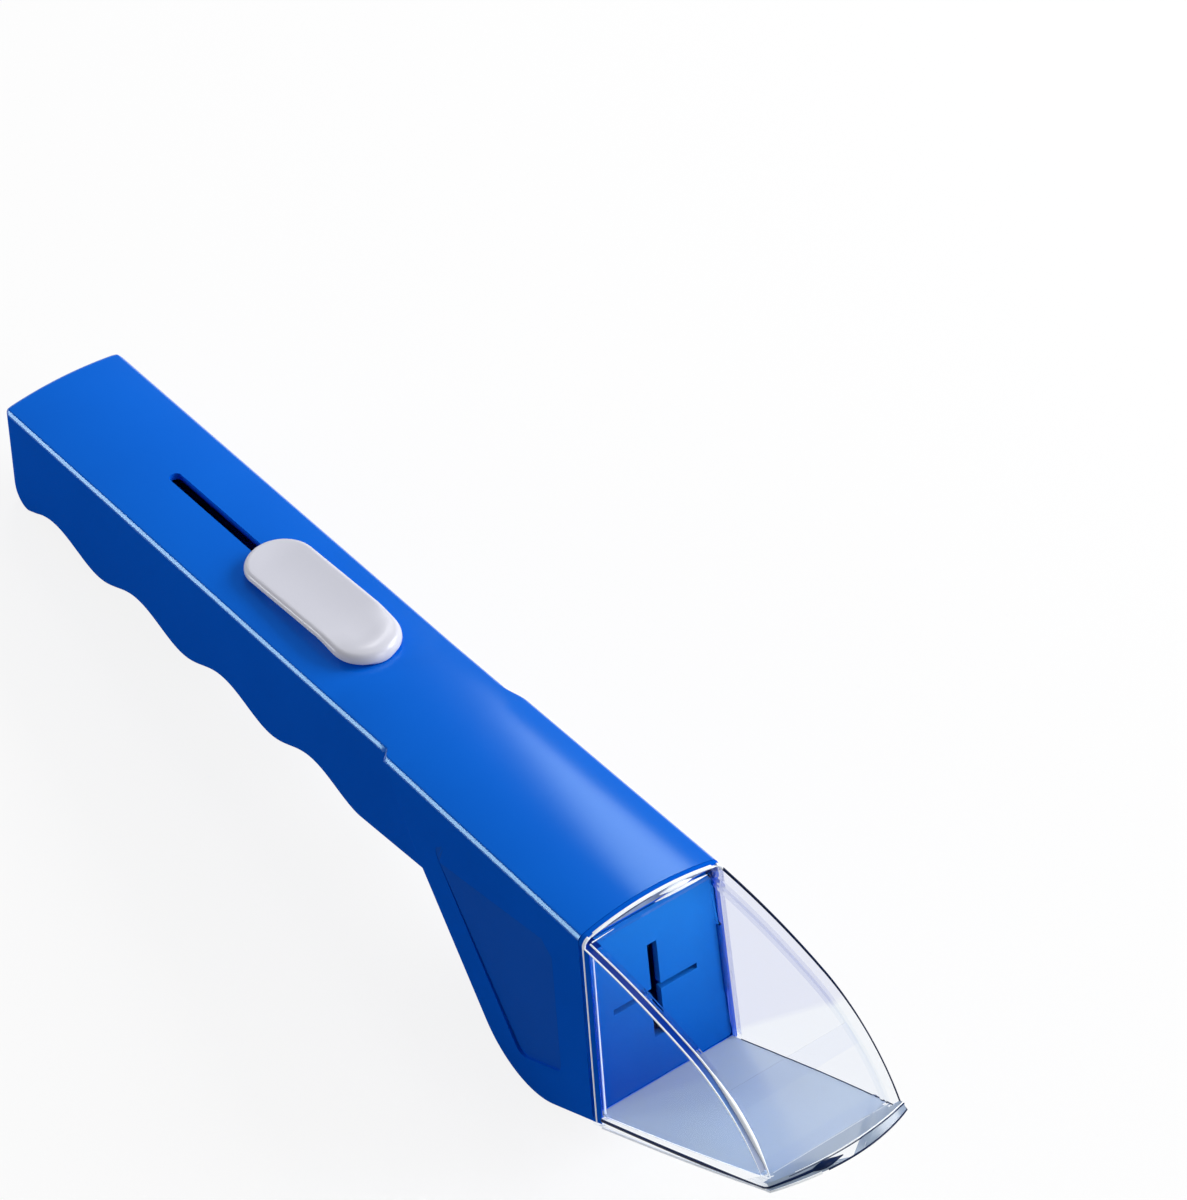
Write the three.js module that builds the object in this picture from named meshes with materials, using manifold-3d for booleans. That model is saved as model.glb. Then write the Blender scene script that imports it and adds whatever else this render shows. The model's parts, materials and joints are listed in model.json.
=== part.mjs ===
import * as THREE from 'three';
import { mergeVertices } from 'three/addons/utils/BufferGeometryUtils.js';
import Module from 'manifold-3d';

// Spider catcher: a hollow handle in two half shells whose head flares down at the front, a clear capture
// chamber on the head, and a flexible clear shutter that a thumb slider draws back along two curved rails.
// Millimetres. Every piece is drawn along the handle: X runs forward from the rim of the head, Y runs
// across, and Z runs up from the lowest corner of the rim. The last lines stand it on its heel and tail.

// Handle
const handleLength = 137.4;
const handleWidth = 28.2;
const gripDepth = 22.6;
const fingerDepth = 4.2;
const fingerCount = 4;
const firstFingerIn = 14.4;
const lastFingerBack = 28.8;
const tailLean = 3.4;
const tailBow = 0.5;
const tailCorner = 1.8;
const tailFootDepth = 5.4;
const tailFootRadius = 4.5;
const tailTopRadius = 1.4;

// Head
const headLength = 65;
const headHeight = 48;
const headWidth = 32;
const headRearWidth = 30.6;
const sideDraft = 1.3;
const flareBack = 55;
const flareHeight = 28.5;
const flareAngle = 55.6;
const heelRadius = 18;
const floorAngle = 24.3;
const notchRadius = 1.4;
const panelInset = 9.5;
const panelDepth = 0.6;
const panelRadius = 3;

// Shell of the handle and head
const wall = 1.5;
const edgeRadius = 1;
const tailCrown = 0.9;
const headCrown = 2.3;
const ribThickness = 1.2;
const ribReach = 2;
const ledgeThickness = 1;
const handleLedgeReach = 1.9;
const pinRadius = 1.4;
const pinLength = 5;
const pinBossRadius = 3;
const pinHeight = 33;
const heelPinHeight = 9;
const tailPinInset = 10;

// Slider: button, and the carriage that carries its stem
const slotWidth = 2.6;
const slotRearBack = 159.8;
const buttonLength = 43.6;
const buttonWidth = 14.8;
const buttonRise = 5.2;
const buttonRearBack = 127.7;
const buttonEdgeRadius = 1.1;
const buttonUndercut = 2.6;
const buttonRearDrop = 1.4;
const buttonNoseLength = 12;
const buttonNoseDrop = 1.8;
const buttonCrestRadius = 2.5;
const buttonSideDrop = 0.3;
const thumbDishDepth = 0.5;
const stemLength = 8;
const stemThickness = 2;
const buttonRoof = 0.8;
const carriageLength = 38;
const carriageThickness = 2;
const carriageCornerRadius = 2.5;
const carriageRibDepth = 1.6;
const carriageRibThickness = 1.2;
const pegRadius = 1.2;
const pegHeadRadius = 2.2;
const pegHeadHeight = 0.7;
const pegSpacing = 26;

// Shutter
const filmThickness = 0.3;
const filmEngagement = 0.5;
const tailFilmWidth = 22.4;
const leadLength = 2.2;
const leadThickness = 1.2;
const shutterStay = 3;

// Rails: the top edge of each chamber wall is a shallow arc that runs into a tight one
const railDrop = 1.6;
const rearRailRadius = 132.6;
const rearRailAngle = 14;
const frontRailRadius = 32;
const railFlange = 0.6;
const railLedge = 1;
const railReach = 2.9;

// Capture chamber
const chamberWall = 1.6;
const tipTaper = 1;
const rimDepth = 1.4;
const rimWidth = 2.3;
const rimCornerRadius = 2;
const lipCornerReach = 2;
const lipBow = 4.3;
const lipCornerBevel = 0.9;
const lipBevel = 2.4;
const tabLength = 7;
const tabHeight = 18;
const tabThickness = 0.8;
const tabHook = 0.5;
const tabHookLength = 1.6;
const tabCentreHeight = 24;

// Bulkhead behind the chamber, with a cross-shaped vent
const bulkheadThickness = 1.6;
const ventBarWidth = 2.2;
const ventBarHeight = 24;
const ventCrossWidth = 1.4;
const ventCrossLength = 19;
const ventCentreHeight = 24.2;

// Clearances, and how far a cut runs past what it cuts
const runningGap = 0.15;
const seatGap = 0.3;
const overrun = 1;
const weldGap = 0.001;

// How finely round stretches are divided
const arcStep = 12;
const stepsPerFinger = 12;
const crossSteps = 8;
const roundSides = 16;
const edgeSegments = 2;
const rearRailSteps = 3;
const frontRailSteps = 12;
const dishShares = [0.1, 0.25, 0.45, 0.7, 0.9];

const wasm = await Module();
wasm.setup();
const radians = THREE.MathUtils.degToRad;
const clamp = THREE.MathUtils.clamp;

// Solids and pieces

function solid(geometry) {
  const bare = geometry.clone();
  bare.deleteAttribute('normal');
  bare.deleteAttribute('uv');
  const merged = mergeVertices(bare);
  const vertProperties = new Float32Array(merged.attributes.position.array);
  const triVerts = new Uint32Array(merged.index.array);
  return new wasm.Manifold(new wasm.Mesh({ numProp: 3, vertProperties, triVerts }));
}

function union(shapes) {
  return shapes.reduce((whole, shape) => whole.add(shape));
}

function piece(name, shape, material) {
  const mesh = shape.getMesh();
  const geometry = new THREE.BufferGeometry();
  geometry.setAttribute('position', new THREE.BufferAttribute(mesh.vertProperties, 3));
  geometry.setIndex(new THREE.BufferAttribute(mesh.triVerts, 1));
  geometry.computeVertexNormals();
  const named = new THREE.Mesh(geometry, material);
  named.name = name;
  return named;
}

// Outlines: each corner has the radius that rounds it, and an outline runs anticlockwise

function corner(x, y, radius = 0) {
  return { x, y, radius };
}

function rectangle(x0, x1, y0, y1, radius = 0) {
  return [[x0, y0], [x1, y0], [x1, y1], [x0, y1]].map(([x, y]) => corner(x, y, radius));
}

function turnAt(corners, i) {
  const count = corners.length;
  const before = corners[(i + count - 1) % count];
  const here = corners[i];
  const after = corners[(i + 1) % count];
  const inward = new THREE.Vector2(here.x - before.x, here.y - before.y).normalize();
  const outward = new THREE.Vector2(after.x - here.x, after.y - here.y).normalize();
  const side = Math.sign(inward.cross(outward));
  const angle = Math.acos(clamp(inward.dot(outward), -1, 1));
  return { inward, outward, side, angle };
}

function inset(corners, distance) {
  return corners.map((here, i) => {
    const { inward, outward, side, angle } = turnAt(corners, i);
    const normal = new THREE.Vector2(-inward.y - outward.y, inward.x + outward.x).normalize();
    const shift = distance / Math.cos(angle / 2);
    const radius = here.radius > 0 ? Math.max(here.radius - side * distance, 0) : 0;
    return corner(here.x + normal.x * shift, here.y + normal.y * shift, radius);
  });
}

function rounded(corners) {
  const points = corners.flatMap((here, i) => {
    const { inward, side, angle } = turnAt(corners, i);
    if (here.radius === 0) {
      return [new THREE.Vector2(here.x, here.y)];
    }
    const reach = here.radius * Math.tan(angle / 2);
    const start = new THREE.Vector2(here.x, here.y).addScaledVector(inward, -reach);
    const spoke = new THREE.Vector2(inward.y, -inward.x).multiplyScalar(side * here.radius);
    const centre = start.clone().sub(spoke);
    const steps = Math.max(2, Math.ceil(angle / radians(arcStep)));
    const stops = Array.from({ length: steps + 1 }, (_, k) => (side * angle * k) / steps);
    return stops.map((turn) => spoke.clone().rotateAround(new THREE.Vector2(), turn).add(centre));
  });
  return points.filter((point, i) => point.distanceTo(points.at(i - 1)) > weldGap);
}

// Extrusions: a side outline runs across the object, a plan runs up, and a section runs forward

function across(points, width, centre = 0, edge = 0, steps = 1) {
  const geometry = new THREE.ExtrudeGeometry(new THREE.Shape(points), {
    depth: width - 2 * edge,
    steps,
    bevelEnabled: edge > 0,
    bevelThickness: edge,
    bevelSize: edge,
    bevelOffset: -edge,
    bevelSegments: edgeSegments,
  });
  geometry.rotateX(Math.PI / 2);
  geometry.translate(0, centre + width / 2 - edge, 0);
  return geometry;
}

function extruded(points, depth, holes = []) {
  const shape = new THREE.Shape(points);
  shape.holes = holes.map((hole) => new THREE.Path(hole));
  return new THREE.ExtrudeGeometry(shape, { depth, bevelEnabled: false });
}

function upward(points, bottom, height, holes = []) {
  return extruded(points, height, holes).translate(0, 0, bottom);
}

function forward(points, rear, length, holes = []) {
  const axes = [new THREE.Vector3(0, 1, 0), new THREE.Vector3(0, 0, 1), new THREE.Vector3(1, 0, 0)];
  const turned = new THREE.Matrix4().makeBasis(...axes);
  return extruded(points, length, holes).applyMatrix4(turned).translate(rear, 0, 0);
}

function block(x0, x1, y0, y1, z0, z1) {
  return solid(upward(rounded(rectangle(x0, x1, y0, y1)), z0, z1 - z0));
}

function roundBar(radius, y0, y1, x, z) {
  const cylinder = new THREE.CylinderGeometry(radius, radius, y1 - y0, roundSides);
  return solid(cylinder.translate(x, (y0 + y1) / 2, z));
}

function post(radius, x, y, z0, z1) {
  const cylinder = new THREE.CylinderGeometry(radius, radius, z1 - z0, roundSides).rotateX(Math.PI / 2);
  return solid(cylinder.translate(x, y, (z0 + z1) / 2));
}

// A skin over rings of equally many points, the first ring lowest, with both ends closed
function loft(rings) {
  const count = rings[0].length;
  const indices = [];
  for (let r = 0; r + 1 < rings.length; r++) {
    for (let i = 0; i < count; i++) {
      const next = (i + 1) % count;
      const [a, b, c, d] = [r * count + i, r * count + next, (r + 1) * count + next, (r + 1) * count + i];
      indices.push(a, b, c, a, c, d);
    }
  }
  const top = (rings.length - 1) * count;
  for (const [a, b, c] of THREE.ShapeUtils.triangulateShape(rings[0], [])) {
    indices.push(c, b, a);
    indices.push(top + a, top + b, top + c);
  }
  const geometry = new THREE.BufferGeometry().setFromPoints(rings.flat());
  geometry.setIndex(indices);
  return solid(geometry);
}

function bent(geometry, move) {
  const position = geometry.attributes.position;
  const point = new THREE.Vector3();
  for (let i = 0; i < position.count; i++) {
    move(point.fromBufferAttribute(position, i));
    position.setXYZ(i, point.x, point.y, point.z);
  }
  return geometry;
}

// Levels and places that several pieces share

const tailX = -headLength - handleLength;
const fingerPitch = (handleLength - firstFingerIn - lastFingerBack) / (fingerCount - 1);
const gripZ = headHeight - gripDepth;
const floorSlope = Math.tan(radians(floorAngle));
const shellBottomRise = wall / Math.cos(radians(floorAngle));
const chamberFloorRise = chamberWall / Math.cos(radians(floorAngle));
const handleInnerHalf = handleWidth / 2 - wall;
const rimX = runningGap;

const railTop = headHeight - railDrop;
const filmTopInset = railFlange + runningGap;
const filmBottomInset = filmTopInset + filmThickness;
const ledgeInset = filmBottomInset + runningGap;
const filmTop = railTop - filmTopInset;
const filmBottom = railTop - filmBottomInset;
const ledgeTop = railTop - ledgeInset;
const carriageBottom = ledgeTop - carriageThickness;

const railHalf = headWidth / 2 - railReach;
const filmHalf = railHalf + filmEngagement;
const leadHalf = railHalf - filmEngagement;

// The top is crowned, more so towards the rim
function crownAt(x) {
  return THREE.MathUtils.mapLinear(x, tailX, 0, tailCrown, headCrown);
}

// The head is wider at its foot than at its top, and the chamber carries that on and draws in to its tip
function draftAt(z) {
  return sideDraft * (1 - z / headHeight);
}

function headHalfAt(x, z = headHeight) {
  return THREE.MathUtils.mapLinear(x, -headLength, 0, headRearWidth, headWidth) / 2 + draftAt(z);
}

function drafted(geometry) {
  return bent(geometry, (point) => {
    point.y += Math.sign(point.y) * draftAt(point.z);
  });
}

// Rails and shutter follow one curve, set in from the top edge of the chamber walls, and it ends on the floor

const railJoint = radians(rearRailAngle);
const rearCentre = new THREE.Vector2(0, railTop - rearRailRadius);
const jointArm = new THREE.Vector2(Math.sin(railJoint), Math.cos(railJoint));
const frontCentre = rearCentre.clone().addScaledVector(jointArm, rearRailRadius - frontRailRadius);
const centreOverFloor = frontCentre.y - frontCentre.x * floorSlope - chamberFloorRise;
const railEndAngle = Math.acos(
  (-centreOverFloor * Math.cos(radians(floorAngle))) / frontRailRadius,
) - radians(floorAngle);
const shutterEndAngle = railEndAngle - (seatGap + runningGap) / frontRailRadius;

function railCurve(depth, endAngle = railEndAngle, rearLead = 0) {
  const points = rearLead > 0 ? [new THREE.Vector2(-rearLead, railTop - depth)] : [];
  const arcs = [
    { centre: rearCentre, radius: rearRailRadius, from: 0, to: railJoint, steps: rearRailSteps },
    { centre: frontCentre, radius: frontRailRadius, from: railJoint, to: endAngle, steps: frontRailSteps },
  ];
  for (const { centre, radius, from, to, steps } of arcs) {
    for (let k = from > 0 ? 1 : 0; k <= steps; k++) {
      const angle = from + ((to - from) * k) / steps;
      const arm = new THREE.Vector2(Math.sin(angle), Math.cos(angle));
      points.push(arm.multiplyScalar(radius - depth).add(centre));
    }
  }
  return points;
}

function railBand(outerDepth, innerDepth, endAngle, rearLead) {
  const outer = railCurve(outerDepth, endAngle, rearLead);
  return [...railCurve(innerDepth, endAngle, rearLead), ...outer.reverse()];
}

const filmMidInset = (filmTopInset + filmBottomInset) / 2;
const rearFilmLength = (rearRailRadius - filmMidInset) * railJoint;
const frontFilmLength = (frontRailRadius - filmMidInset) * (shutterEndAngle - railJoint);
const travel = rearFilmLength + frontFilmLength - shutterStay;
const stemX = -slotRearBack + seatGap + stemLength / 2 + travel;
const railEnd = railCurve(0).at(-1);

// Housing: the handle with its finger waves, and the head with its heel

function crowned(geometry, halfAt) {
  return bent(geometry, (point) => {
    const share = clamp((2 * point.z) / headHeight - 1, 0, 1);
    point.z += share * crownAt(point.x) * (1 - (point.y / halfAt(point.x)) ** 2);
  });
}

function fingerWave() {
  const firstValley = -headLength - lastFingerBack - (fingerCount - 1) * fingerPitch;
  const corners = [];
  for (let k = stepsPerFinger / 4; k <= fingerCount * stepsPerFinger; k++) {
    const phase = k / stepsPerFinger - 1 / 2;
    const drop = fingerDepth * (1 - Math.cos(2 * Math.PI * phase)) / 2;
    corners.push(corner(firstValley + phase * fingerPitch, gripZ - drop));
  }
  return corners;
}

function handleProfile() {
  const neckZ = gripZ - fingerDepth / 2;
  const neckX = -flareBack + (flareHeight - neckZ) / Math.tan(radians(flareAngle)) + wall;
  return [
    corner(tailX - tailLean, gripZ - tailFootDepth, tailFootRadius),
    ...fingerWave(),
    corner(neckX, neckZ),
    corner(neckX, headHeight),
    corner(tailX, headHeight, tailTopRadius),
  ];
}

function headProfile(front) {
  const flareSlope = Math.tan(radians(flareAngle));
  const heelX = (flareHeight - flareBack * flareSlope) / (floorSlope + flareSlope);
  return [
    corner(front, front * floorSlope),
    corner(front, headHeight),
    corner(-headLength, headHeight, notchRadius),
    corner(-flareBack, flareHeight, heelRadius),
    corner(heelX, heelX * floorSlope, heelRadius),
  ];
}

// The tail bows out in the middle and its two upright corners are rounded
function bowedTail(geometry, half, cornerRadius) {
  const reach = tailLean + 2 * tailFootRadius;
  return bent(geometry, (point) => {
    const share = clamp((tailX - tailLean + reach - point.x) / reach, 0, 1);
    const past = clamp((Math.abs(point.y) - half + cornerRadius) / cornerRadius, 0, 1);
    const rounding = cornerRadius * (1 - Math.sqrt(1 - past ** 2));
    point.x += share * (tailBow * (point.y / half) ** 2 + rounding);
  });
}

function handleBody(depth) {
  const half = handleWidth / 2 - depth;
  const points = rounded(inset(handleProfile(), depth));
  const plain = across(points, 2 * half, 0, depth > 0 ? 0 : edgeRadius, crossSteps);
  const topped = crowned(plain, () => handleWidth / 2);
  return solid(bowedTail(topped, half, tailCorner - depth));
}

function headBody(depth, front) {
  const points = rounded(inset(headProfile(front), depth));
  const edge = depth > 0 ? 0 : edgeRadius;
  const plain = bent(across(points, headWidth, 0, edge, crossSteps), (point) => {
    point.y *= (headHalfAt(point.x, point.z) - depth) / (headWidth / 2);
  });
  return solid(crowned(plain, (x) => headHalfAt(x)));
}

// A shallow panel in each side of the head, deepest at its foot and fading out at its top
function sidePanel(side) {
  const outline = inset(headProfile(0), panelInset).map((c) => corner(c.x, c.y, panelRadius));
  const points = rounded(outline);
  const top = Math.max(...points.map((p) => p.y));
  const bottom = Math.min(...points.map((p) => p.y));
  const shaped = bent(across(points, panelDepth), (point) => {
    const half = headHalfAt(point.x, point.z);
    const fade = (top - point.z) / (top - bottom);
    point.y = side * (point.y * side > 0 ? half + overrun : half - panelDepth * fade);
  });
  return solid(shaped);
}

// A ledge on the inside of a side wall, with a sloped underside, for one side of the carriage or film
function ledge(side, wallY, reach, top, rear, front) {
  const buried = side * (wallY + wall / 2);
  const tip = side * (wallY - reach);
  const points = [
    new THREE.Vector2(buried, top),
    new THREE.Vector2(tip, top),
    new THREE.Vector2(tip, top - ledgeThickness),
    new THREE.Vector2(buried, top - ledgeThickness - reach),
  ];
  return solid(forward(side > 0 ? points : points.reverse(), rear, front - rear));
}

const bulkheadFront = -seatGap;
const bulkheadRear = bulkheadFront - bulkheadThickness;
const ribFront = bulkheadRear - runningGap;
const tabOuter = headHalfAt(-tabLength) - wall - runningGap;
const tabInner = tabOuter - tabThickness;
const tabBottom = tabCentreHeight - tabHeight / 2;
const tabTop = tabCentreHeight + tabHeight / 2;

// A way through for the chamber's snap tabs
function tabWindow(y0, y1, rear, front) {
  const points = rounded(rectangle(y0, y1, tabBottom - seatGap, tabTop + seatGap));
  return solid(drafted(forward(points, rear - overrun, front - rear + 2 * overrun)));
}

// A U-shaped rib in the mouth of the head, which the bulkhead rests against
function mouthRib() {
  const rear = ribFront - ribThickness;
  const outerHalf = headHalfAt(rear) - wall / 2;
  const innerHalf = headHalfAt(rear) - wall - ribReach;
  const bottom = rear * floorSlope + shellBottomRise;
  const points = [
    new THREE.Vector2(-outerHalf, bottom - wall / 2),
    new THREE.Vector2(outerHalf, bottom - wall / 2),
    new THREE.Vector2(outerHalf, ledgeTop),
    new THREE.Vector2(innerHalf, ledgeTop),
    new THREE.Vector2(innerHalf, bottom + ribReach),
    new THREE.Vector2(-innerHalf, bottom + ribReach),
    new THREE.Vector2(-innerHalf, ledgeTop),
    new THREE.Vector2(-outerHalf, ledgeTop),
  ];
  const wallHalf = headHalfAt(rear) - wall;
  const rib = solid(drafted(forward(points, rear, ribThickness)));
  return rib.subtract(tabWindow(-wallHalf, wallHalf, rear, ribFront));
}

// A lintel across the mouth of the head, above the shutter, whose top is buried in the crowned top wall
function mouthLintel() {
  const rear = ribFront - ribThickness;
  const half = headHalfAt(rear) - wall / 2;
  const bottom = filmTop + seatGap;
  const points = [new THREE.Vector2(-half, bottom), new THREE.Vector2(half, bottom)];
  for (let k = 0; k <= crossSteps; k++) {
    const share = 1 - (2 * k) / crossSteps;
    const top = headHeight - wall / 2 + crownAt(rear) * (1 - share ** 2);
    points.push(new THREE.Vector2(half * share, top));
  }
  return solid(forward(points, rear, -rear));
}

function tabPocket(side) {
  const inner = side * (tabOuter - runningGap);
  const outer = side * (tabOuter + tabHook + 2 * runningGap);
  const rear = -tabLength - seatGap;
  const front = -tabLength + tabHookLength + seatGap;
  const points = rounded(rectangle(rear, front, Math.min(inner, outer), Math.max(inner, outer)));
  return solid(drafted(upward(points, tabBottom - seatGap, tabHeight + 2 * seatGap)));
}

const handleBuried = handleInnerHalf + wall / 2;
const headBuried = headHalfAt(-flareBack / 2, heelPinHeight) - wall / 2;
const pinPlaces = [
  { x: tailX + tailPinInset, z: pinHeight, buried: handleBuried },
  { x: -headLength - lastFingerBack - fingerPitch, z: pinHeight, buried: handleBuried },
  { x: -headLength, z: pinHeight, buried: handleBuried },
  { x: -flareBack / 2, z: heelPinHeight, buried: headBuried },
];

function housing() {
  const outer = handleBody(0).add(headBody(0, 0));
  const hollow = handleBody(wall).add(headBody(wall, wall + overrun));
  const slotFront = stemX + stemLength / 2 + seatGap;
  const slotHalf = slotWidth / 2;
  const slotPoints = rounded(rectangle(-slotRearBack, slotFront, -slotHalf, slotHalf, slotHalf));
  const slot = solid(upward(slotPoints, headHeight - wall - overrun, wall + headCrown + 2 * overrun));
  let shell = outer.subtract(hollow).subtract(slot);
  const carriageRest = carriageBottom - runningGap;
  const headInnerHalf = headHalfAt(-headLength / 2) - wall;
  const filmReach = headInnerHalf - railHalf;
  const [filmRear, filmFront] = [-headLength + wall / 2, ribFront - ribThickness / 2];
  for (const side of [-1, 1]) {
    const ledges = [
      ledge(side, handleInnerHalf, handleLedgeReach, carriageRest, tailX + tailCorner, -headLength),
      ledge(side, headInnerHalf, filmReach, ledgeTop, filmRear, filmFront),
    ];
    shell = union([shell, ...ledges]).subtract(sidePanel(side));
  }
  shell = union([shell, mouthRib(), mouthLintel()]);
  for (const side of [-1, 1]) {
    shell = shell.subtract(tabPocket(side));
  }
  return shell.intersect(outer);
}

function housingHalves() {
  const shell = housing();
  const reach = 2 * (handleLength + headLength);
  const left = shell.intersect(block(-reach, reach, 0, reach, -reach, reach));
  const right = shell.intersect(block(-reach, reach, -reach, 0, -reach, reach));
  const bosses = (side) => union(pinPlaces.map(({ x, z, buried }) => roundBar(
    pinBossRadius, Math.min(0, side * buried), Math.max(0, side * buried), x, z,
  )));
  const pins = union(pinPlaces.map(({ x, z }) => roundBar(pinRadius, -pinLength, overrun, x, z)));
  const sockets = union(
    pinPlaces.map(({ x, z }) => roundBar(pinRadius + runningGap, -pinLength - seatGap, overrun, x, z)),
  );
  return {
    left: union([left, bosses(1), pins]),
    right: union([right, bosses(-1)]).subtract(sockets),
  };
}

// Bulkhead: a plate that closes the mouth of the head below the shutter

function bulkhead() {
  const half = headHalfAt(bulkheadRear) - wall - runningGap;
  const bottom = bulkheadFront * floorSlope + shellBottomRise + runningGap;
  const outline = rounded(rectangle(-half, half, bottom, ledgeTop, edgeRadius));
  const vent = { y: ventBarWidth / 2, z: ventBarHeight / 2 };
  const cross = { y: ventCrossLength / 2, z: ventCrossWidth / 2 };
  const plate = solid(drafted(forward(outline, bulkheadRear, bulkheadThickness)));
  const cut = (y0, y1, z0, z1) => block(bulkheadRear - overrun, bulkheadFront + overrun, y0, y1, z0, z1);
  const openings = [
    cut(-vent.y, vent.y, ventCentreHeight - vent.z, ventCentreHeight + vent.z),
    cut(-cross.y, cross.y, ventCentreHeight - cross.z, ventCentreHeight + cross.z),
    tabWindow(-headWidth, -tabInner + runningGap, bulkheadRear, bulkheadFront),
    tabWindow(tabInner - runningGap, headWidth, bulkheadRear, bulkheadFront),
  ];
  return plate.subtract(union(openings));
}

// Capture chamber: rim, two walls with a railed top edge, and a floor with a bowed, bevelled lip

const railPoints = railCurve(0).filter((point) => point.x > rimX);

function chamberWallOutline() {
  const places = [new THREE.Vector2(rimX, railTop), ...railPoints];
  const foot = places.map(({ x }) => new THREE.Vector2(x, x * floorSlope + chamberFloorRise / 2));
  return [...foot, ...places.reverse()];
}

function chamberHalfAt(x, z) {
  return headWidth / 2 + draftAt(z) - tipTaper * clamp(x / railEnd.x, 0, 1) ** 3;
}

function sideWall(side) {
  return solid(bent(across(chamberWallOutline(), chamberWall), (point) => {
    const depth = point.y * side > 0 ? 0 : chamberWall;
    point.y = side * (chamberHalfAt(point.x, point.z) - depth);
  }));
}

function floorRing(cornerReach, bow, rise) {
  const at = (x, share) => {
    const z = x * floorSlope + rise;
    return new THREE.Vector3(x, share * chamberHalfAt(x, z), z);
  };
  const shares = Array.from({ length: crossSteps + 1 }, (_, k) => (2 * k) / crossSteps - 1);
  const lip = shares.map((share) => at(railEnd.x + cornerReach + bow * (1 - share ** 2), share));
  const sides = [rimX, ...railPoints.slice(0, -1).map((point) => point.x)];
  return [...sides.map((x) => at(x, -1)), ...lip, ...sides.reverse().map((x) => at(x, 1))];
}

function rimFrame() {
  const half = headWidth / 2;
  const outline = [corner(-half, 0, rimCornerRadius), corner(half, 0, rimCornerRadius)];
  outline.push(corner(half, headHeight, rimCornerRadius));
  for (let k = 1; k < crossSteps; k++) {
    const y = half * (1 - (2 * k) / crossSteps);
    outline.push(corner(y, headHeight + headCrown * (1 - (y / half) ** 2)));
  }
  outline.push(corner(-half, headHeight, rimCornerRadius));
  const hole = rectangle(-half + rimWidth, half - rimWidth, chamberWall, railTop - railFlange, edgeRadius);
  return solid(drafted(forward(rounded(outline), rimX, rimDepth, [rounded(hole)])));
}

function snapTab(side) {
  const points = [
    new THREE.Vector2(rimX + rimDepth, tabInner),
    new THREE.Vector2(rimX + rimDepth, tabOuter),
    new THREE.Vector2(-tabLength + tabHookLength, tabOuter),
    new THREE.Vector2(-tabLength + tabHookLength, tabOuter + tabHook),
    new THREE.Vector2(-tabLength, tabOuter),
    new THREE.Vector2(-tabLength, tabInner),
  ];
  const placed = points.map((p) => new THREE.Vector2(p.x, side * p.y));
  return solid(drafted(upward(side > 0 ? placed : placed.reverse(), tabBottom, tabHeight)));
}

function captureChamber() {
  const floor = loft([
    floorRing(lipCornerReach, lipBow, 0),
    floorRing(lipCornerReach - lipCornerBevel, lipBow - lipBevel + lipCornerBevel, chamberFloorRise),
  ]);
  const parts = [rimFrame(), floor];
  for (const side of [-1, 1]) {
    const railWidth = railReach - chamberWall / 2;
    const railY = side * (railHalf + railWidth / 2);
    parts.push(sideWall(side));
    parts.push(solid(across(railBand(0, railFlange), railWidth, railY)));
    parts.push(solid(across(railBand(ledgeInset, ledgeInset + railLedge), railWidth, railY)));
    parts.push(snapTab(side));
  }
  const groove = solid(across(railBand(railFlange, ledgeInset), 2 * (filmHalf + seatGap), 0));
  const front = block(rimX, 2 * headHeight, -headWidth, headWidth, -headHeight, 2 * headHeight);
  const tabs = block(-headHeight, rimX, -headWidth, headWidth, tabBottom, tabTop);
  return union(parts).subtract(groove).intersect(front.add(tabs));
}

// Shutter: a thin clear film with a flat tail under the handle's top, and a stiff bar on its leading edge

function shutterFilm() {
  const rear = stemX - carriageLength / 2 + carriageCornerRadius;
  const lap = 2 * overrun;
  const tailHalf = tailFilmWidth / 2;
  const stemHole = rectangle(
    stemX - stemLength / 2 - runningGap, stemX + stemLength / 2 + runningGap,
    -stemThickness / 2 - runningGap, stemThickness / 2 + runningGap,
  );
  const outline = rounded(rectangle(rear, -lap / 2, -tailHalf, tailHalf));
  const tail = upward(outline, filmBottom, filmThickness, [rounded(stemHole)]);
  const pegHoles = [-1, 1].map((end) => post(
    pegRadius + runningGap, stemX + (end * pegSpacing) / 2, 0, filmBottom - overrun, filmTop + overrun,
  ));
  const panel = across(railBand(filmTopInset, filmBottomInset, shutterEndAngle, lap), 2 * filmHalf);
  return solid(tail).subtract(union(pegHoles)).add(solid(panel));
}

function shutterLeadEdge() {
  const top = filmBottomInset + runningGap;
  const [outer, inner] = [top, top + leadThickness].map((depth) => railCurve(depth, shutterEndAngle).at(-1));
  const along = new THREE.Vector2(Math.cos(shutterEndAngle), -Math.sin(shutterEndAngle));
  const back = (point) => point.clone().addScaledVector(along, -leadLength);
  return solid(across([inner, outer, back(outer), back(inner)], 2 * leadHalf));
}

// Slider: a carriage under the film, whose stem comes up through the slot into the button

const buttonTop = headHeight + buttonRise;
const stemTop = buttonTop - buttonFall(stemX - stemLength / 2, 0) - thumbDishDepth - buttonRoof - runningGap;

function stemBlock(gap, bottom, top) {
  const length = stemLength / 2 + gap;
  const half = stemThickness / 2 + gap;
  const outline = rounded(rectangle(stemX - length, stemX + length, -half, half, half));
  return solid(upward(outline, bottom, top - bottom));
}

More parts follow.
